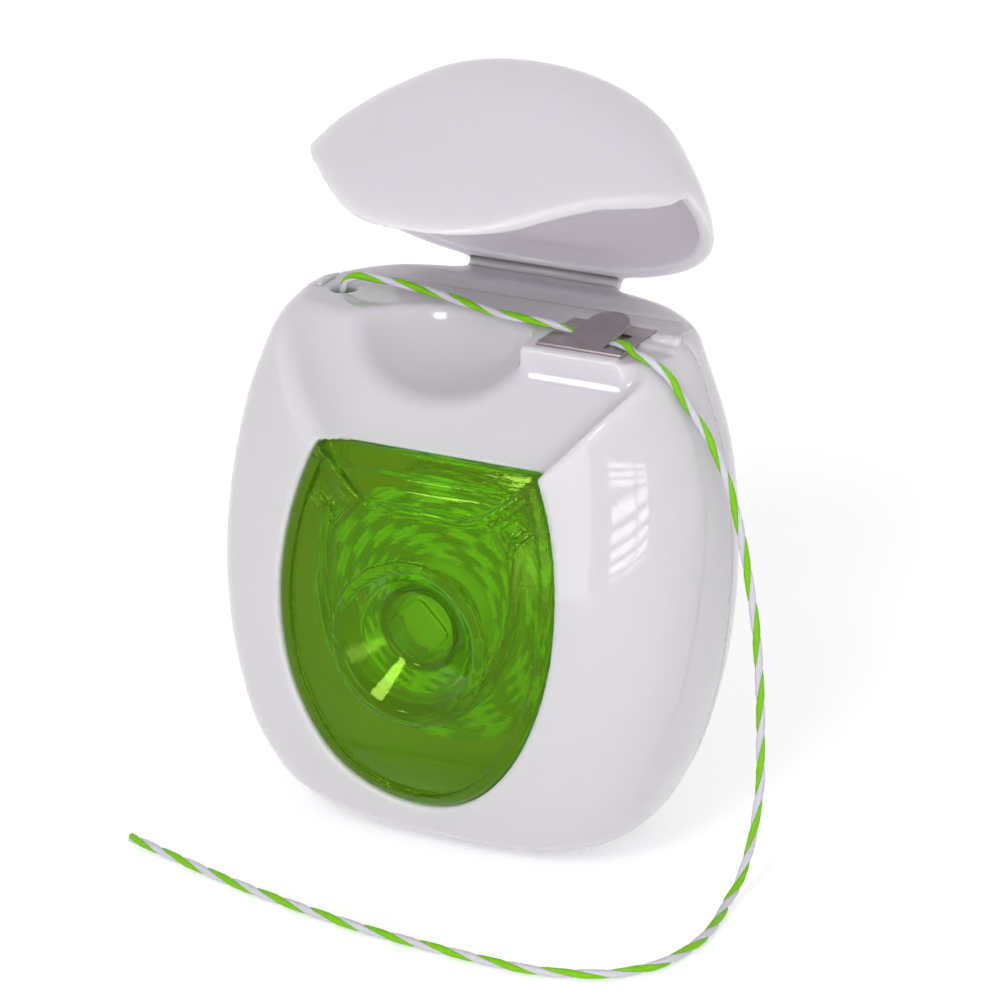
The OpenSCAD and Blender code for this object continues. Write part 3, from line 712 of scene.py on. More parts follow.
class DispenserCutter(bpy.types.PropertyGroup):
    """Sizes and colour of the steel cutter."""

    sheet: length_prop("Sheet", "Thickness of the sheet", 0.3)
    rise: bpy.props.FloatProperty(
        name="Rise", description="Angle at which the tongue stands up",
        default=math.radians(14), unit="ROTATION",
    )
    tongue_w: length_prop("Tongue Width", "Width of the tongue", 4.6)
    tongue_l: length_prop("Tongue Length", "Length of the tongue", 7.0)
    colour: colour_prop("Colour", "Colour of the steel", (0.52, 0.47, 0.475))


class DispenserStage(bpy.types.PropertyGroup):
    """Camera and light."""

    key: light_prop("Key Light", "Power of the soft lamp high in front", 3.1, "POWER")
    front: light_prop("Front Light", "Power of the wide lamp low in front", 2.1, "POWER")
    blind: light_prop("Blind Light", "Strength of the lit strips between the blind's slats", 9.0)
    sill: light_prop("Sill Light", "Strength of the pane that the window's seat mirrors", 15.0)
    room: light_prop("Room Light", "Strength of the even light from all sides", 0.68)
    paper: light_prop("Paper Glow", "Strength that turns the floor white where it is seen", 0.4)
    bounce: light_prop("Paper Bounce", "Strength that the floor throws back on the object", 0.2)
    lens: bpy.props.FloatProperty(
        name="Lens", description="Focal length in millimetres on a 36 mm sensor", default=171.0
    )


# Pieces


def front_shell(x, y, z, soft):
    """The front shell, with its deck, cutter seat, ear, pocket, notch, window opening and floss hole."""
    wall, c, margin, slack = soft.wall / MM, CUTTER, 1.3, 0.12
    right, back = c["x"] + c["w"], c["y"] + c["d"]
    outside = body_outside(x, y, z, soft)
    shell = np.maximum(outside, -(outside + wall))
    shell = round_and(shell, front_part(x, y, z, SEAM / 2), SEAM_EDGE)
    deck = DECK_Z + 0.4 * np.clip((y - 2.5) / 5, 0, 1) ** 2
    above = block(x, y, z, (-DECK_HALF - 1, None, None), (DECK_HALF + 1, DECK_BACK_Y, None), 0.1)
    shell = round_and(shell, -np.maximum(above, deck - z), 0.15)
    low = c["x"] - margin, c["y"] - margin, CUTTER_SEAT_UNDER
    seat = block(x, y, z, low, (right + 1.6, back + margin, DECK_Z - 0.2), 0.45)
    shell = round_or(shell, round_and(seat, pebble(x, y, z) + wall + TONGUE_CLEAR, 0.5), 0.8)
    ear = block(x, y, z, EAR_LOW, EAR_HIGH, 0.3)
    shell = round_or(shell, ear, 0.15)
    low, high = (c["x"] - slack, c["y"] - slack, DECK_Z - 0.25), (right + slack, back + slack, None)
    shell = round_and(shell, -block(x, y, z, low, high, 0.1), 0.1)
    notch = block(x, y, z, (right, None, DECK_Z - 0.5), (None, 0.4, None), 0.3)
    shell = round_and(shell, -notch, 0.2)
    shell = round_and(shell, -np.maximum(window_outline(x, z), y + 8), 0.35)
    hole = np.maximum(np.hypot(x - HOLE_X, y - HOLE_Y) - HOLE_R, DECK_UNDER + 0.5 - z)
    return round_and(shell, -hole, 0.35)


def rear_shell(x, y, z, soft):
    """The rear shell, with the lip of the living hinge and the axle post."""
    outside = body_outside(x, y, z, soft)
    shell = np.maximum(outside, -(outside + soft.wall / MM))
    shell = round_and(shell, -front_part(x, y, z, -SEAM / 2), SEAM_EDGE)
    lip = block(x, y, z, (-LIP_HALF, 9.5, 47), (LIP_HALF, HINGE_Y + 0.25, BODY_H + 0.05), 0.25)
    top = BODY_H + np.where(y < BACK_RISE_END, BACK_RISE, 0.05)
    shell = np.maximum(round_or(shell, lip, 1.2), z - top)
    relief = block(x, y, z, (-LIP_HALF - 0.4, HINGE_Y + 0.18, 52), (LIP_HALF + 0.4, None, None), 0.1)
    shell = round_and(shell, -relief, 0.1)
    across = np.hypot(x, z - SPOOL_Z)
    post = round_and(across - POST_R, POST_END_Y - y, 0.4)
    post = round_or(post, round_and(across - POST_ROOT_R, POST_ROOT_Y - y, 0.3), 0.3)
    return round_or(shell, np.maximum(post, outside + 0.75), 0.8)


def shut_lid(x, y, z, soft):
    """The lid as it lies when shut, with its dome, front tongue, hinge lip and the groove round the web."""
    dome = LID_EDGE_Z - z
    half, reach = WINDOW_TOP_HALF - TONGUE_CLEAR, TONGUE_DROP - TONGUE_CLEAR
    u = np.clip(x / half, -1.3, 1.3)
    low = (WINDOW_TOP - reach * (1 - u**2) - z) / np.sqrt(1 + (2 * reach * u / half) ** 2)
    side = (np.abs(x) - half - (z - WINDOW_TOP) * SPREAD) / math.hypot(1, SPREAD)
    outline = round_or(dome, round_and(round_and(low, side, 2.2), y + 4, 1.0), 2.5)
    region = np.minimum(dome, np.maximum(outline, recess_sides(x, y, z, soft) + LID_GAP))
    skin = pebble(x, y, z)
    lid = round_and(round_and(skin, region, 0.5), -round_and(skin + soft.wall / MM, region - 3, 0.2), 0.25)
    lip = block(x, y, z, (-LIP_HALF, 12.4, LID_EDGE_Z), (LIP_HALF, HINGE_Y + 0.3, LID_EDGE_Z + 2), 0.25)
    lid = np.where(y > 8, np.maximum(round_or(lid, lip, 1.0), dome), lid)
    groove = np.maximum(np.hypot(y - HINGE_Y, z - HINGE_Z) - 0.41, np.abs(x) - LIP_HALF - 0.2)
    return np.maximum(lid, -groove)


def window_insert(x, y, z, window):
    """The window, with its stepped rim, tongue seat, pads, flange, tub wall, dish, hub ring and square boss."""
    rim, step, wall = window.rim / MM, window.step / MM, window.wall / MM
    width, across = np.abs(x), np.hypot(x, z - SPOOL_Z)
    face, edge = pebble(x, y, z) + WINDOW_INSET, window_outline(x, z)
    pane = round_and(face, edge + WINDOW_GAP, 0.45)
    pane = round_and(pane, -round_and(edge + rim, -(face + step), 0.1), 0.15)

    low = SEAT_Z + 0.012 * (36 - x**2) - z
    bow = 0.07 * (z - SEAT_Z) * (WINDOW_TOP - z)
    side = (width - WINDOW_TOP_HALF + (WINDOW_TOP - z) * 1.3 - bow) / 1.64
    seat = round_and(side, low, 0.3)
    sunk = np.clip((z - 37) / 5, 0, 1.2)
    floor = ((1 - sunk) * (skin_y(x, 37.0) + 1.0) + sunk * (RECESS_Y - 0.1) - y) / 1.15
    pane = round_and(pane, -round_and(seat, -floor, 0.2), 0.15)
    pad = np.full(np.shape(face), -1e3)
    for px, pz, nx, nz in PAD_SIDES:
        pad = np.maximum(pad, ((width - px) * nx + (z - pz) * nz) / math.hypot(nx, nz))
    for k in range(PAD_STEPS):
        pane = np.maximum(pane, -np.maximum(pad + PAD_TREAD * k, -(face + step + PAD_DROP * (k + 1))))

    behind = face + step + wall
    general = np.maximum(behind, np.maximum(1.1 - seat, 0.6 - pad))
    under_seat = np.maximum(seat - 1.1, floor + wall)
    under_pad = np.maximum(np.maximum(pad - 0.6, 1.1 - seat), behind + 1.2)
    hollow = np.minimum(np.minimum(general, under_seat), under_pad)
    pane = np.maximum(pane, -np.maximum(hollow, y + 4))
    flange = np.maximum(face + FLANGE_FRONT, -(face + FLANGE_BACK))
    flange = np.maximum(flange, np.maximum(edge - FLANGE_REACH, z - FLANGE_TOP))
    pane = np.minimum(pane, flange)

    tub = (np.hypot(width / TUB_HALF, np.minimum(z - TUB_MID, 0) / TUB_DROP) - 1) * TUB_HALF
    ring = round_and(np.maximum(np.abs(tub) - TUB_WALL / 2, z - TUB_TOP), face + 0.55, 0.1)
    pane = round_or(pane, np.maximum(ring, y - TUB_BACK_Y), 0.2)
    lean = (DISH_R - BORE_R) / 2.95
    cone = (across - BORE_R - np.clip(DISH_Y - y, -3, 4) * lean) / math.hypot(1, lean)
    pane = round_or(pane, np.maximum(np.maximum(cone - 0.9, y - BORE_Y), face), 0.2)
    pane = np.minimum(pane, np.maximum(across - HUB_R, np.maximum(DISH_Y - y, y - HUB_BACK_Y)))
    pane = round_and(pane, -np.maximum(cone, y - DISH_Y), 0.15)
    pane = np.maximum(pane, -np.maximum(across - BORE_R, BORE_Y - y))
    turned_square = (np.abs(x) + np.abs(z - SPOOL_Z)) / math.sqrt(2)
    boss = round_and(turned_square - BOSS_HALF, across - BOSS_R, 0.3)
    return np.minimum(pane, np.maximum(boss, np.maximum(BOSS_FRONT_Y - y, y - BOSS_BACK_Y)))


def moulded(name, body, node, shape, material, low, high, pitch, degrees=0):
    """Meshes a shape between two corners, turns it about the hinge, and finishes it as a piece."""
    points, quads = surface_net(shape, low, high, pitch)
    points = turned_about_hinge(points, degrees)
    finish_piece(mesh_piece(name, points, quads, [material]), body, node)


class DISPENSER_OT_front_shell(bpy.types.Operator):
    """Build the front shell with its deck, recess, scoop, cutter seat, ear, floss hole and window opening."""

    bl_idname = "dispenser.front_shell"
    bl_label = "Front Shell"

    def execute(self, context):
        soft = context.scene.dispenser_body
        moulded(
            "front_shell_moulding", "housing", "front_shell",
            lambda x, y, z: front_shell(x, y, z, soft), finish_named("white"),
            (-27, -18, -0.9), (27, 8.5, 54.4), soft.pitch / MM,
        )
        return {"FINISHED"}


class DISPENSER_OT_rear_shell(bpy.types.Operator):
    """Build the rear shell with the axle post and the lip of the living hinge."""

    bl_idname = "dispenser.rear_shell"
    bl_label = "Rear Shell"

    def execute(self, context):
        soft = context.scene.dispenser_body
        moulded(
            "rear_shell_moulding", "housing", "rear_shell",
            lambda x, y, z: rear_shell(x, y, z, soft), finish_named("white"),
            (-27, -11.6, -0.9), (27, 16.6, 54.4), soft.pitch / MM,
        )
        return {"FINISHED"}


class DISPENSER_OT_lid(bpy.types.Operator):
    """Build the domed lid with its front tongue, turned open about the hinge."""

    bl_idname = "dispenser.lid"
    bl_label = "Lid"

    def execute(self, context):
        soft = context.scene.dispenser_body
        moulded(
            "lid_moulding", "lid", "lid",
            lambda x, y, z: shut_lid(x, y, z, soft), finish_named("white"),
            (-23, -17, 35.5), (23, 16.6, 68), 0.75 * soft.pitch / MM, LID_OPEN,
        )
        return {"FINISHED"}


class DISPENSER_OT_hinge_strip(bpy.types.Operator):
    """Build the thin web of the living hinge."""

    bl_idname = "dispenser.hinge_strip"
    bl_label = "Hinge Strip"

    def execute(self, context):
        deck, rim, fillet, back_r = 0.08, 0.3, 0.6, 0.4
        half_open = math.radians(LID_OPEN) / 2
        corner = np.array([(rim - deck * math.cos(2 * half_open)) / math.sin(2 * half_open), deck])
        middle = corner + fillet * np.array([-1 / math.tan(half_open), 1])
        front = [(-math.pi / 2 + (math.pi - 2 * half_open) * k / 12, fillet, middle) for k in range(13)]
        rear = [(math.radians(70 - 160 * k / 14), back_r, np.zeros(2)) for k in range(15)]
        section = np.array([at + r * np.array([math.cos(a), math.sin(a)]) for a, r, at in front + rear])
        centre, sides = section.mean(0), len(section)
        mesh = bmesh.new()
        rings = []
        for inset, share in ((0, 0.8), (0.08, 0.95), (0.3, 1)):
            ring = centre + (section - centre) * share
            for x in (inset - LIP_HALF, LIP_HALF - inset):
                corners = [mesh.verts.new(Vector((x, HINGE_Y + p[0], HINGE_Z + p[1])) * MM) for p in ring]
                rings.append((x, corners))
        rings = [corners for _, corners in sorted(rings, key=lambda pair: pair[0])]
        for a, b in zip(rings, rings[1:]):
            for k in range(sides):
                mesh.faces.new((a[k], a[(k + 1) % sides], b[(k + 1) % sides], b[k]))
        mesh.faces.new(rings[0][::-1])
        mesh.faces.new(rings[-1])
        bmesh.ops.recalc_face_normals(mesh, faces=mesh.faces)
        data = bmesh_data("hinge_strip_web", mesh, finish_named("white"))
        data.polygons.foreach_set("use_smooth", [len(p.vertices) == 4 for p in data.polygons])
        finish_piece(shown("hinge_strip_web", data), "housing", "hinge_strip")
        return {"FINISHED"}


class DISPENSER_OT_window(bpy.types.Operator):
    """Build the green window with its rim, tongue seat, stepped pads, tub wall, dish and hub ring."""

    bl_idname = "dispenser.window"
    bl_label = "Window"

    def execute(self, context):
        window = context.scene.dispenser_window
        moulded(
            "window_insert", "housing", "window",
            lambda x, y, z: window_insert(x, y, z, window), green_clear(window),
            (-17, -17.6, 4), (17, -8.0, 43), 0.24,
        )
        return {"FINISHED"}


def tongue_place(u, v):
    """Where a point of the tongue lies seen from above, u across it and v along it."""
    turn = math.radians(TONGUE_TURN)
    x, y = CUTTER["x"] + TONGUE_FOLD[0], CUTTER["y"] + TONGUE_FOLD[1]
    return x + u * math.cos(turn) - v * math.sin(turn), y + u * math.sin(turn) + v * math.cos(turn)


def cutter_plate(sheet, wide, long):
    """A bmesh of the flat plate with the slot that the tongue leaves."""
    c, edge, gap = CUTTER, 0.04, 0.25
    right, back, end = c["x"] + c["w"], c["y"] + c["d"], long - 1.4
    outer = [(c["x"], c["y"]), (right, c["y"]), (right, back), (c["x"], back)]
    slot = [tongue_place(*p) for p in ((-gap, 1), (-gap, end), (wide + gap, end), (wide + gap, 1))]
    curve = bpy.data.curves.new("cutter_plate", "CURVE")
    curve.dimensions, curve.fill_mode = "2D", "BOTH"
    curve.extrude, curve.bevel_depth, curve.bevel_resolution = (sheet / 2 - edge) * MM, edge * MM, 1
    for loop in (outer, slot):
        spline = curve.splines.new("POLY")
        spline.points.add(len(loop) - 1)
        for point, (x, y) in zip(spline.points, loop):
            point.co = (x * MM, y * MM, 0, 1)
        spline.use_cyclic_u = True
    flat = shown("cutter_plate", curve)
    bpy.context.view_layer.update()
    plate = bmesh.new()
    plate.from_mesh(bpy.data.meshes.new_from_object(flat.evaluated_get(bpy.context.evaluated_depsgraph_get())))
    bpy.data.objects.remove(flat)
    for v in plate.verts:
        v.co.z += (c["z"] + sheet / 2) * MM
    bmesh.ops.remove_doubles(plate, verts=plate.verts, dist=1e-7)
    return plate


def add_tongue(plate, sheet, wide, long, rise):
    """Adds the tongue, which bends up from the plate and is round at its end."""
    rows, across, bend = 44, 24, 1.2
    steps = [long * math.sin(math.pi / 2 * i / rows) for i in range(rows + 1)]
    heights = [math.tan(rise) * (v**2 / (2 * bend) if v < bend else v - bend / 2) for v in steps]
    halves = [math.sqrt((wide / 2) ** 2 - max(0.0, v - (long - wide / 2)) ** 2) for v in steps[:-1]]
    borders = []
    for lift in (sheet / 2, -sheet / 2):
        grid = []
        for v, up, half in zip(steps, heights, halves):
            sideways = [wide / 2 + half * (2 * k / across - 1) for k in range(across + 1)]
            places = [tongue_place(u, v * math.cos(rise)) for u in sideways]
            z = CUTTER["z"] + sheet / 2 + up + lift
            grid.append([plate.verts.new(Vector((x, y, z)) * MM) for x, y in places])
        z = CUTTER["z"] + sheet / 2 + heights[-1] + lift
        tip = plate.verts.new(Vector((*tongue_place(wide / 2, long * math.cos(rise)), z)) * MM)
        for k in range(across):
            for a, b in zip(grid, grid[1:]):
                plate.faces.new((a[k], a[k + 1], b[k + 1], b[k]))
            plate.faces.new((grid[-1][k], grid[-1][k + 1], tip))
        borders.append([r[0] for r in grid] + [tip] + [r[-1] for r in grid[::-1]] + grid[0][-2:0:-1])
    top, under = borders
    for k in range(len(top)):
        plate.faces.new((top[k - 1], top[k], under[k], under[k - 1]))


class DISPENSER_OT_cutter(bpy.types.Operator):
    """Build the steel plate with its slot and the tongue struck up from it."""

    bl_idname = "dispenser.cutter"
    bl_label = "Cutter"

    def execute(self, context):
        cutter = context.scene.dispenser_cutter
        sheet, wide, long = cutter.sheet / MM, cutter.tongue_w / MM, cutter.tongue_l / MM
        plate = cutter_plate(sheet, wide, long)
        add_tongue(plate, sheet, wide, long, cutter.rise)
        bmesh.ops.recalc_face_normals(plate, faces=plate.faces)
        piece = shown("cutter_blade", bmesh_data("cutter_blade", plate, finish_named("steel")))
        bevel = piece.modifiers.new("edges", "BEVEL")
        bevel.width, bevel.segments = 0.05 * MM, 2
        bevel.limit_method, bevel.angle_limit = "ANGLE", math.radians(50)
        with_modifiers_applied(piece)
        piece.data.shade_smooth()
        finish_piece(piece, "housing", "cutter")
        return {"FINISHED"}


def turned_profile(profile, sides):
    """Points and faces of a closed profile of (radius, y), turned about the spool's axis."""
    a = np.arange(sides) * 2 * math.pi / sides
    points = [np.stack([r * np.sin(a), np.full(sides, y), SPOOL_Z + r * np.cos(a)], 1) for r, y in profile]
    i, faces = np.arange(sides), []
    for k in range(len(profile)):
        here, ahead, j = k * sides, (k + 1) % len(profile) * sides, (i + 1) % sides
        faces.append(np.stack([here + i, here + j, ahead + j, ahead + i], 1))
    return np.concatenate(points), np.concatenate(faces)


class DISPENSER_OT_bobbin(bpy.types.Operator):
    """Build the bobbin that turns on the axle post."""

    bl_idname = "dispenser.bobbin"
    bl_label = "Bobbin"

    def execute(self, context):
        half = [(3.08, 0.3), (3.3, 0.05), (3.4, 0), (4.7, 0), (4.9, 0.08), (CORE_R, 0.3)]
        back = BOBBIN_FRONT_Y + BOBBIN_L
        profile = [(r, BOBBIN_FRONT_Y + d) for r, d in half] + [(r, back - d) for r, d in half[::-1]]
        piece = mesh_piece("bobbin_core", *turned_profile(profile, 64), [finish_named("bobbin")])
        finish_piece(piece, "spool", "spool_core")
        return {"FINISHED"}


def winding_tree(material):
    """A node tree that lays one strand as a spiral or a coil round the spool's axis."""
    tree = bpy.data.node_groups.new("wound strand", "GeometryNodeTree")
    face = tree.interface
    face.new_socket("Geometry", in_out="INPUT", socket_type="NodeSocketGeometry")
    for label in ("Turns", "Start Radius", "End Radius", "Length", "Start", "Strand Radius"):
        face.new_socket(label, in_out="INPUT", socket_type="NodeSocketFloat")
    face.new_socket("Geometry", in_out="OUTPUT", socket_type="NodeSocketGeometry")

    def made(kind, **values):
        node = tree.nodes.new(kind)
        set_inputs(node, {label.replace("_", " "): value for label, value in values.items()})
        return node

    start, end = made("NodeGroupInput"), made("NodeGroupOutput")
    spiral = made("GeometryNodeCurveSpiral", Resolution=72)
    for label in ("Start Radius", "End Radius"):
        tree.links.new(start.outputs[label], spiral.inputs[label])
    tree.links.new(start.outputs["Turns"], spiral.inputs["Rotations"])
    tree.links.new(start.outputs["Length"], spiral.inputs["Height"])
    place = made("ShaderNodeCombineXYZ", Z=SPOOL_Z * MM)
    tree.links.new(start.outputs["Start"], place.inputs["Y"])
    move = made("GeometryNodeTransform", Rotation=(-math.pi / 2, 0, 0))
    tree.links.new(spiral.outputs[0], move.inputs["Geometry"])
    tree.links.new(place.outputs[0], move.inputs["Translation"])
    length = made("GeometryNodeSplineParameter")
    store = made("GeometryNodeStoreNamedAttribute", Name="run")
    store.data_type, store.domain = "FLOAT", "POINT"
    tree.links.new(move.outputs[0], store.inputs["Geometry"])
    tree.links.new(length.outputs["Length"], store.inputs["Value"])
    ring = made("GeometryNodeCurvePrimitiveCircle", Resolution=7)
    tree.links.new(start.outputs["Strand Radius"], ring.inputs["Radius"])
    sweep = made("GeometryNodeCurveToMesh", Fill_Caps=True)
    tree.links.new(store.outputs[0], sweep.inputs["Curve"])
    tree.links.new(ring.outputs[0], sweep.inputs["Profile Curve"])
    chain = [sweep, made("GeometryNodeSetShadeSmooth"), made("GeometryNodeRealizeInstances"),
             made("GeometryNodeSetMaterial", Material=material), end]
    for a, b in zip(chain, chain[1:]):
        tree.links.new(a.outputs[0], b.inputs[0])
    return tree


class DISPENSER_OT_winding(bpy.types.Operator):
    """Wind the floss on the bobbin: a plain roll, a strand coiled over it, and a spiral on each end."""

    bl_idname = "dispenser.winding"
    bl_label = "Winding"

    def execute(self, context):
        floss = context.scene.dispenser_floss
        material = wound_material(floss)
        tree = winding_tree(material)
        names = {s.name: s.identifier for s in tree.interface.items_tree if s.in_out == "INPUT"}
        front, thick = BOBBIN_FRONT_Y + 0.8, floss.wound / MM
        back = front + WINDING_LENGTH
        spiral = {"Turns": 7.6 / thick, "Start Radius": 5.6, "End Radius": WINDING_R - 0.15, "Length": 0.0}
        coil = {"Turns": WINDING_LENGTH / thick - 1.2, "Start Radius": WINDING_R, "End Radius": WINDING_R}
        mesh = bmesh.new()
        for layer in (
            {**coil, "Length": WINDING_LENGTH - 0.8, "Start": front + 0.4},
            {**spiral, "Start": front + 0.12},
            {**spiral, "Start": back - 0.12},
        ):
            holder = shown("strand", bpy.data.meshes.new("strand"))
            step = holder.modifiers.new("wind", "NODES")
            step.node_group = tree
            for label, value in {**layer, "Strand Radius": thick / 2}.items():
                step[names[label]] = float(value) * (1 if label == "Turns" else MM)
            with_modifiers_applied(holder)
            mesh.from_mesh(holder.data)
            bpy.data.objects.remove(holder)
        inner, outer = CORE_R + 0.03, WINDING_R - 0.25
        ends = [(inner, front + 0.1), (outer, front + 0.1), (outer, back - 0.1), (inner, back - 0.1)]
        points, faces = turned_profile(ends, 96)
        corners = [mesh.verts.new(Vector(p) * MM) for p in points]
        for face in faces:
            mesh.faces.new([corners[k] for k in face])
        piece = shown("wound_floss", bmesh_data("wound_floss", mesh, material))
        finish_piece(piece, "spool", "floss_winding")
        return {"FINISHED"}


def pinch(path):
    """How full the floss is along its path: it is nipped thin under the cutter's tongue."""
    left = CUTTER["x"] + TONGUE_FOLD[0]
    right = left + bpy.context.scene.dispenser_cutter.tongue_w / MM + 0.3
    off = np.maximum(0, np.maximum(left - path[:, 0], path[:, 0] - right))
    full = 0.5 + 0.5 * np.minimum(1, off / 1.5)
    return np.where(path[:, 2] < DECK_UNDER, 1.0, full)


def twisted_floss(name, route, floss, phase):
    """Two plies twisted about a route, with a UV map that runs along each ply."""
    path = smooth_path(route, 0.35)
    side, up = carried_frames(path)
    run = np.concatenate([[0], np.cumsum(np.linalg.norm(np.diff(path, axis=0), axis=1))])
    size = floss.thickness / MM * pinch(path)
    angle = phase + 2 * math.pi * run / (floss.twist / MM) + 0.3 * np.sin(run / 7.3)
    sides, last = 12, len(path) - 1
    round_at = np.arange(sides) * 2 * math.pi / sides
    points, faces, picks, uvs = [], [], [], []
    for ply in range(2):
        turn = (angle + math.pi * ply)[:, None]
        out, over = np.cos(turn) * side + np.sin(turn) * up, -np.sin(turn) * side + np.cos(turn) * up
        centre = path + out * (0.21 * size)[:, None]
        reach = (0.29 * size)[:, None, None] * np.cos(round_at)[None, :, None] * out[:, None, :]
        width = (0.4 * size)[:, None, None] * np.sin(round_at)[None, :, None] * over[:, None, :]
        base, before = len(points), len(faces)
        points += list((centre[:, None, :] + reach + width).reshape(-1, 3)) + [centre[0], centre[last]]
        for k in range(sides):
            m, u, v = (k + 1) % sides, k / sides, (k + 1) / sides
            for i in range(last):
                here, ahead = base + i * sides, base + (i + 1) * sides
                faces.append((here + k, here + m, ahead + m, ahead + k))
                uvs += [(u, run[i]), (v, run[i]), (v, run[i + 1]), (u, run[i + 1])]
            end = base + last * sides
            faces += [(base + m, base + k, end + sides), (end + k, end + m, end + sides + 1)]
            uvs += [(u, run[0])] * 3 + [(u, run[last])] * 3
        picks += [ply] * (len(faces) - before)
    mesh = bpy.data.meshes.new(name)
    mesh.from_pydata([tuple(p * MM) for p in points], [], faces)
    mesh.materials.append(ply_material(name + "_green", floss.green, floss.green_shade))
    mesh.materials.append(ply_material(name + "_white", floss.white, floss.white_shade))
    mesh.polygons.foreach_set("material_index", picks)
    mesh.polygons.foreach_set("use_smooth", [True] * len(picks))
    mesh.uv_layers.new(name="along").data.foreach_set("uv", np.array(uvs).ravel())
    return shown(name, mesh), path * MM, float(run[-1]) * MM


class DISPENSER_OT_floss(bpy.types.Operator):
    """Lay the free floss from the deck hole under the cutter to its bare end, and the run inside."""

    bl_idname = "dispenser.floss"
    bl_label = "Floss"

    def execute(self, context):
        floss = context.scene.dispenser_floss
        for name, node, route, far_end, phase in (
            ("floss_free_end", "floss_tail", TAIL_POINTS, "bare", -2.2),
            ("floss_inner_run", "floss_lead", LEAD_POINTS, "object", 0.0),
        ):
            piece, path, length = twisted_floss(name, route, floss, phase)
            finish_piece(piece, "housing", node)
        return {"FINISHED"}


# Stage


def soft_lamp(name, place, size, power):
    """A square area lamp aimed at the dispenser's middle."""
    lamp = bpy.data.lights.new(name, "AREA")
    lamp.size, lamp.energy = size, power
    thing = shown(name, lamp)
    thing.location = place
    thing.rotation_mode = "QUATERNION"
    thing.rotation_quaternion = (Vector((0, 0, 0.04)) - Vector(place)).to_track_quat("-Z", "Y")


def glowing(name, grey):
    """A matt grey material that gives off white light, with its tree and its strength's input."""
    material, tree, shader = new_material(name)
    set_inputs(shader, {
        "Base Color": (grey, grey, grey, 1), "Roughness": 0.9, "Specular IOR Level": 0.0,
        "Emission Color": (1, 1, 1, 1),
    })
    return material, tree, shader.inputs["Emission Strength"]


def stage_sheet(name, middle, across, rise, panes, material):
    """A flat stage object of one or more panes, each from its left and right ends and its half height."""
    middle, across, rise = (np.array(v, float) for v in (middle, across, rise))
    points = []
    for left, right, half in panes:
        corners = (left, -half), (right, -half), (right, half), (left, half)
        points += [middle + across * u + rise * v for u, v in corners]
    faces = np.arange(len(points)).reshape(-1, 4)
    mesh_piece(name, np.array(points), faces, [material], soft=False)


def blind_card(strength):
    """A bright card beyond a blind, low on the right, that the body's gloss mirrors as two striped panes."""
    material, tree, glow = glowing("blind_light", 0)
    height = tree.nodes.new("ShaderNodeSeparateXYZ")
    tree.links.new(object_place(tree), height.inputs[0])
    stripe = math_node(tree, "MULTIPLY", height.outputs["Z"], 2 * math.pi / 0.03)
    lit = math_node(tree, "GREATER_THAN", math_node(tree, "SINE", stripe), -0.3)
    tree.links.new(math_node(tree, "MULTIPLY", lit, strength), glow)
    panes = ((-230, 40, 110), (70, 210, 110))
    stage_sheet("blind_card", (663, -597, 150), (0.67, 0.74, 0), (0, 0, 1), panes, material)


def sill_card(strength):
    """A small bright pane high on the left, seen only in reflections: the window's seat mirrors it."""
    material, tree, glow = glowing("sill_light", 0)
    path = tree.nodes.new("ShaderNodeLightPath")
    tree.links.new(math_node(tree, "MULTIPLY", path.outputs["Is Glossy Ray"], strength), glow)
    across, rise = (0.907, -0.42, 0), (0.16, 0.37, 0.915)
    stage_sheet("sill_card", (-385, -830, 407), across, rise, ((-60, 60, 95),), material)


def seen_share(tree):
    """One for rays from the camera, mirrors and glass, and nought for the rest."""
    path = tree.nodes.new("ShaderNodeLightPath")
    share = math_node(tree, "MAXIMUM", path.outputs["Is Camera Ray"], path.outputs["Is Glossy Ray"])
    return math_node(tree, "MAXIMUM", share, path.outputs["Is Transmission Ray"])


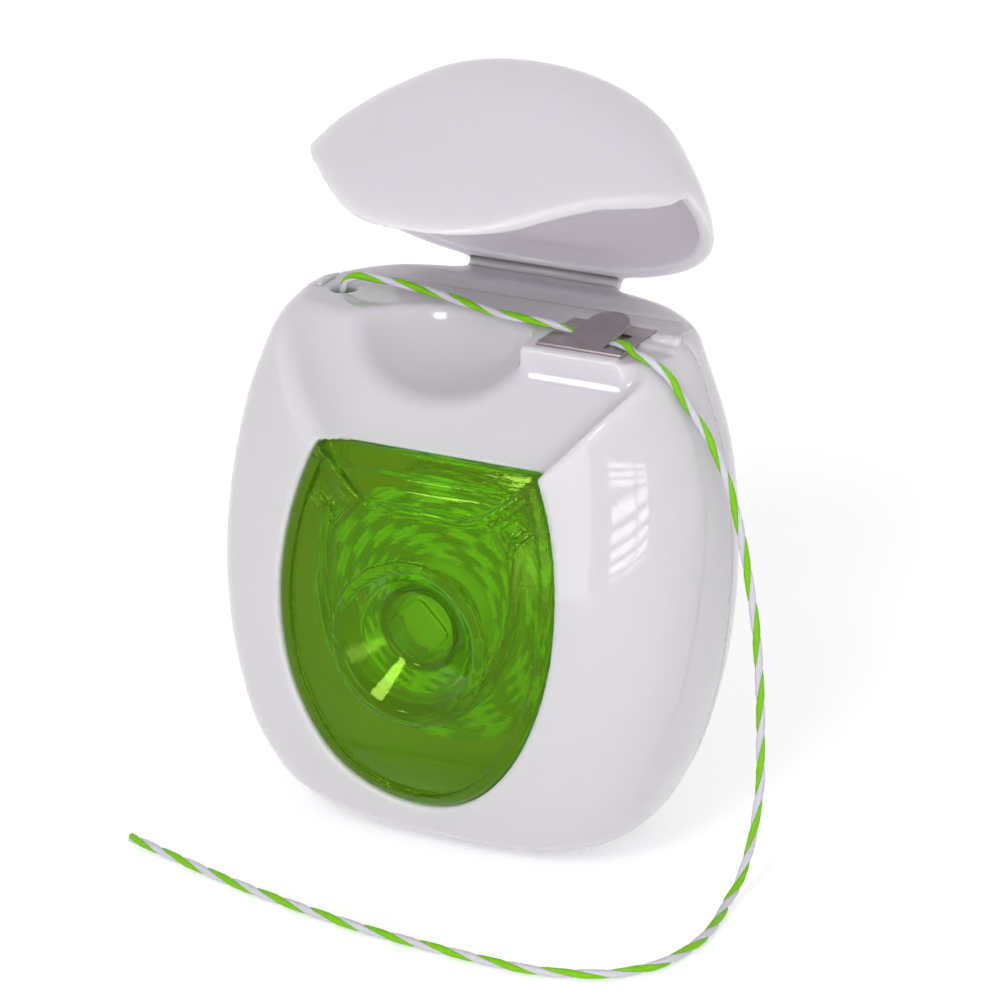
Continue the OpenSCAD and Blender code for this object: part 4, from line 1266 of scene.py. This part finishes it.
class DISPENSER_OT_stage(bpy.types.Operator):
    """Set the camera, the pale floor and the soft light."""

    bl_idname = "dispenser.stage"
    bl_label = "Stage"

    def execute(self, context):
        stage = context.scene.dispenser_stage
        az, el, distance = math.radians(27), math.radians(20.5), 0.475
        right = Vector((math.cos(az), math.sin(az), 0))
        up = Vector((-math.sin(az) * math.sin(el), math.cos(az) * math.sin(el), math.cos(el)))
        back = right.cross(up)
        hinge, middle = Vector((0, 0.014, 0.053)), Vector((0, -0.014, -0.018))
        camera = shown("camera", bpy.data.cameras.new("camera"))
        camera.location = hinge + middle.dot(right) * right + middle.dot(up) * up + distance * back
        camera.rotation_mode = "QUATERNION"
        camera.rotation_quaternion = (-back).to_track_quat("-Z", "Y")
        camera.data.lens, camera.data.sensor_width = stage.lens, 36
        camera.data.shift_x, camera.data.shift_y = 0.0186, -0.0102
        camera.data.clip_start, camera.data.clip_end = 0.01, 20
        context.scene.camera = camera

        material, tree, glow = glowing("floor_paper", 0.8)
        seen = math_node(tree, "MULTIPLY", seen_share(tree), stage.paper - stage.bounce)
        tree.links.new(math_node(tree, "ADD", seen, stage.bounce), glow)
        stage_sheet("floor", (0, 0, 0), (1, 0, 0), (0, 1, 0), ((-4000, 4000, 4000),), material)

        world = bpy.data.worlds.new("room")
        world.use_nodes = True
        context.scene.world = world
        tree = world.node_tree
        ground = tree.nodes["Background"]
        ground.inputs["Color"].default_value = (1.0, 0.985, 1.0, 1)
        seen = math_node(tree, "MULTIPLY", seen_share(tree), 1 - stage.room)
        tree.links.new(math_node(tree, "ADD", seen, stage.room), ground.inputs["Strength"])

        soft_lamp("key_lamp", (0.08, -0.94, 0.78), 0.25, stage.key)
        soft_lamp("front_lamp", (0.14, -0.98, 0.14), 0.5, stage.front)
        blind_card(stage.blind)
        sill_card(stage.sill)
        context.scene.view_settings.view_transform = "Standard"
        return {"FINISHED"}


class DISPENSER_PT_panel(bpy.types.Panel):
    """Lists the pieces and their sizes."""

    bl_label = "Dispenser"
    bl_idname = "DISPENSER_PT_panel"
    bl_space_type = "VIEW_3D"
    bl_region_type = "UI"
    bl_category = "Dispenser"

    def draw(self, context):
        for name, group in GROUP_CLASSES.items():
            box = self.layout.box()
            for key in group.__annotations__:
                box.prop(getattr(context.scene, name), key)
        for operator in OPERATORS:
            self.layout.operator(operator.bl_idname)


GROUP_CLASSES = {
    "dispenser_body": DispenserBody,
    "dispenser_window": DispenserWindow,
    "dispenser_floss": DispenserFloss,
    "dispenser_cutter": DispenserCutter,
    "dispenser_stage": DispenserStage,
}
OPERATORS = [
    DISPENSER_OT_stage,
    DISPENSER_OT_floss,
    DISPENSER_OT_front_shell,
    DISPENSER_OT_rear_shell,
    DISPENSER_OT_lid,
    DISPENSER_OT_hinge_strip,
    DISPENSER_OT_window,
    DISPENSER_OT_cutter,
    DISPENSER_OT_bobbin,
    DISPENSER_OT_winding,
]


def register():
    for c in (*GROUP_CLASSES.values(), *OPERATORS, DISPENSER_PT_panel):
        bpy.utils.register_class(c)
    for name, group in GROUP_CLASSES.items():
        setattr(bpy.types.Scene, name, bpy.props.PointerProperty(type=group))


def unregister():
    for name in GROUP_CLASSES:
        delattr(bpy.types.Scene, name)
    for c in (DISPENSER_PT_panel, *OPERATORS[::-1], *list(GROUP_CLASSES.values())[::-1]):
        bpy.utils.unregister_class(c)


def main():
    register()
    GROUPS["handled"] = handled_surface()
    GROUPS["fibres"] = twisted_fibres()
    for operator in OPERATORS:
        family, name = operator.bl_idname.split(".")
        getattr(getattr(bpy.ops, family), name)()


if __name__ == "__main__":
    main()
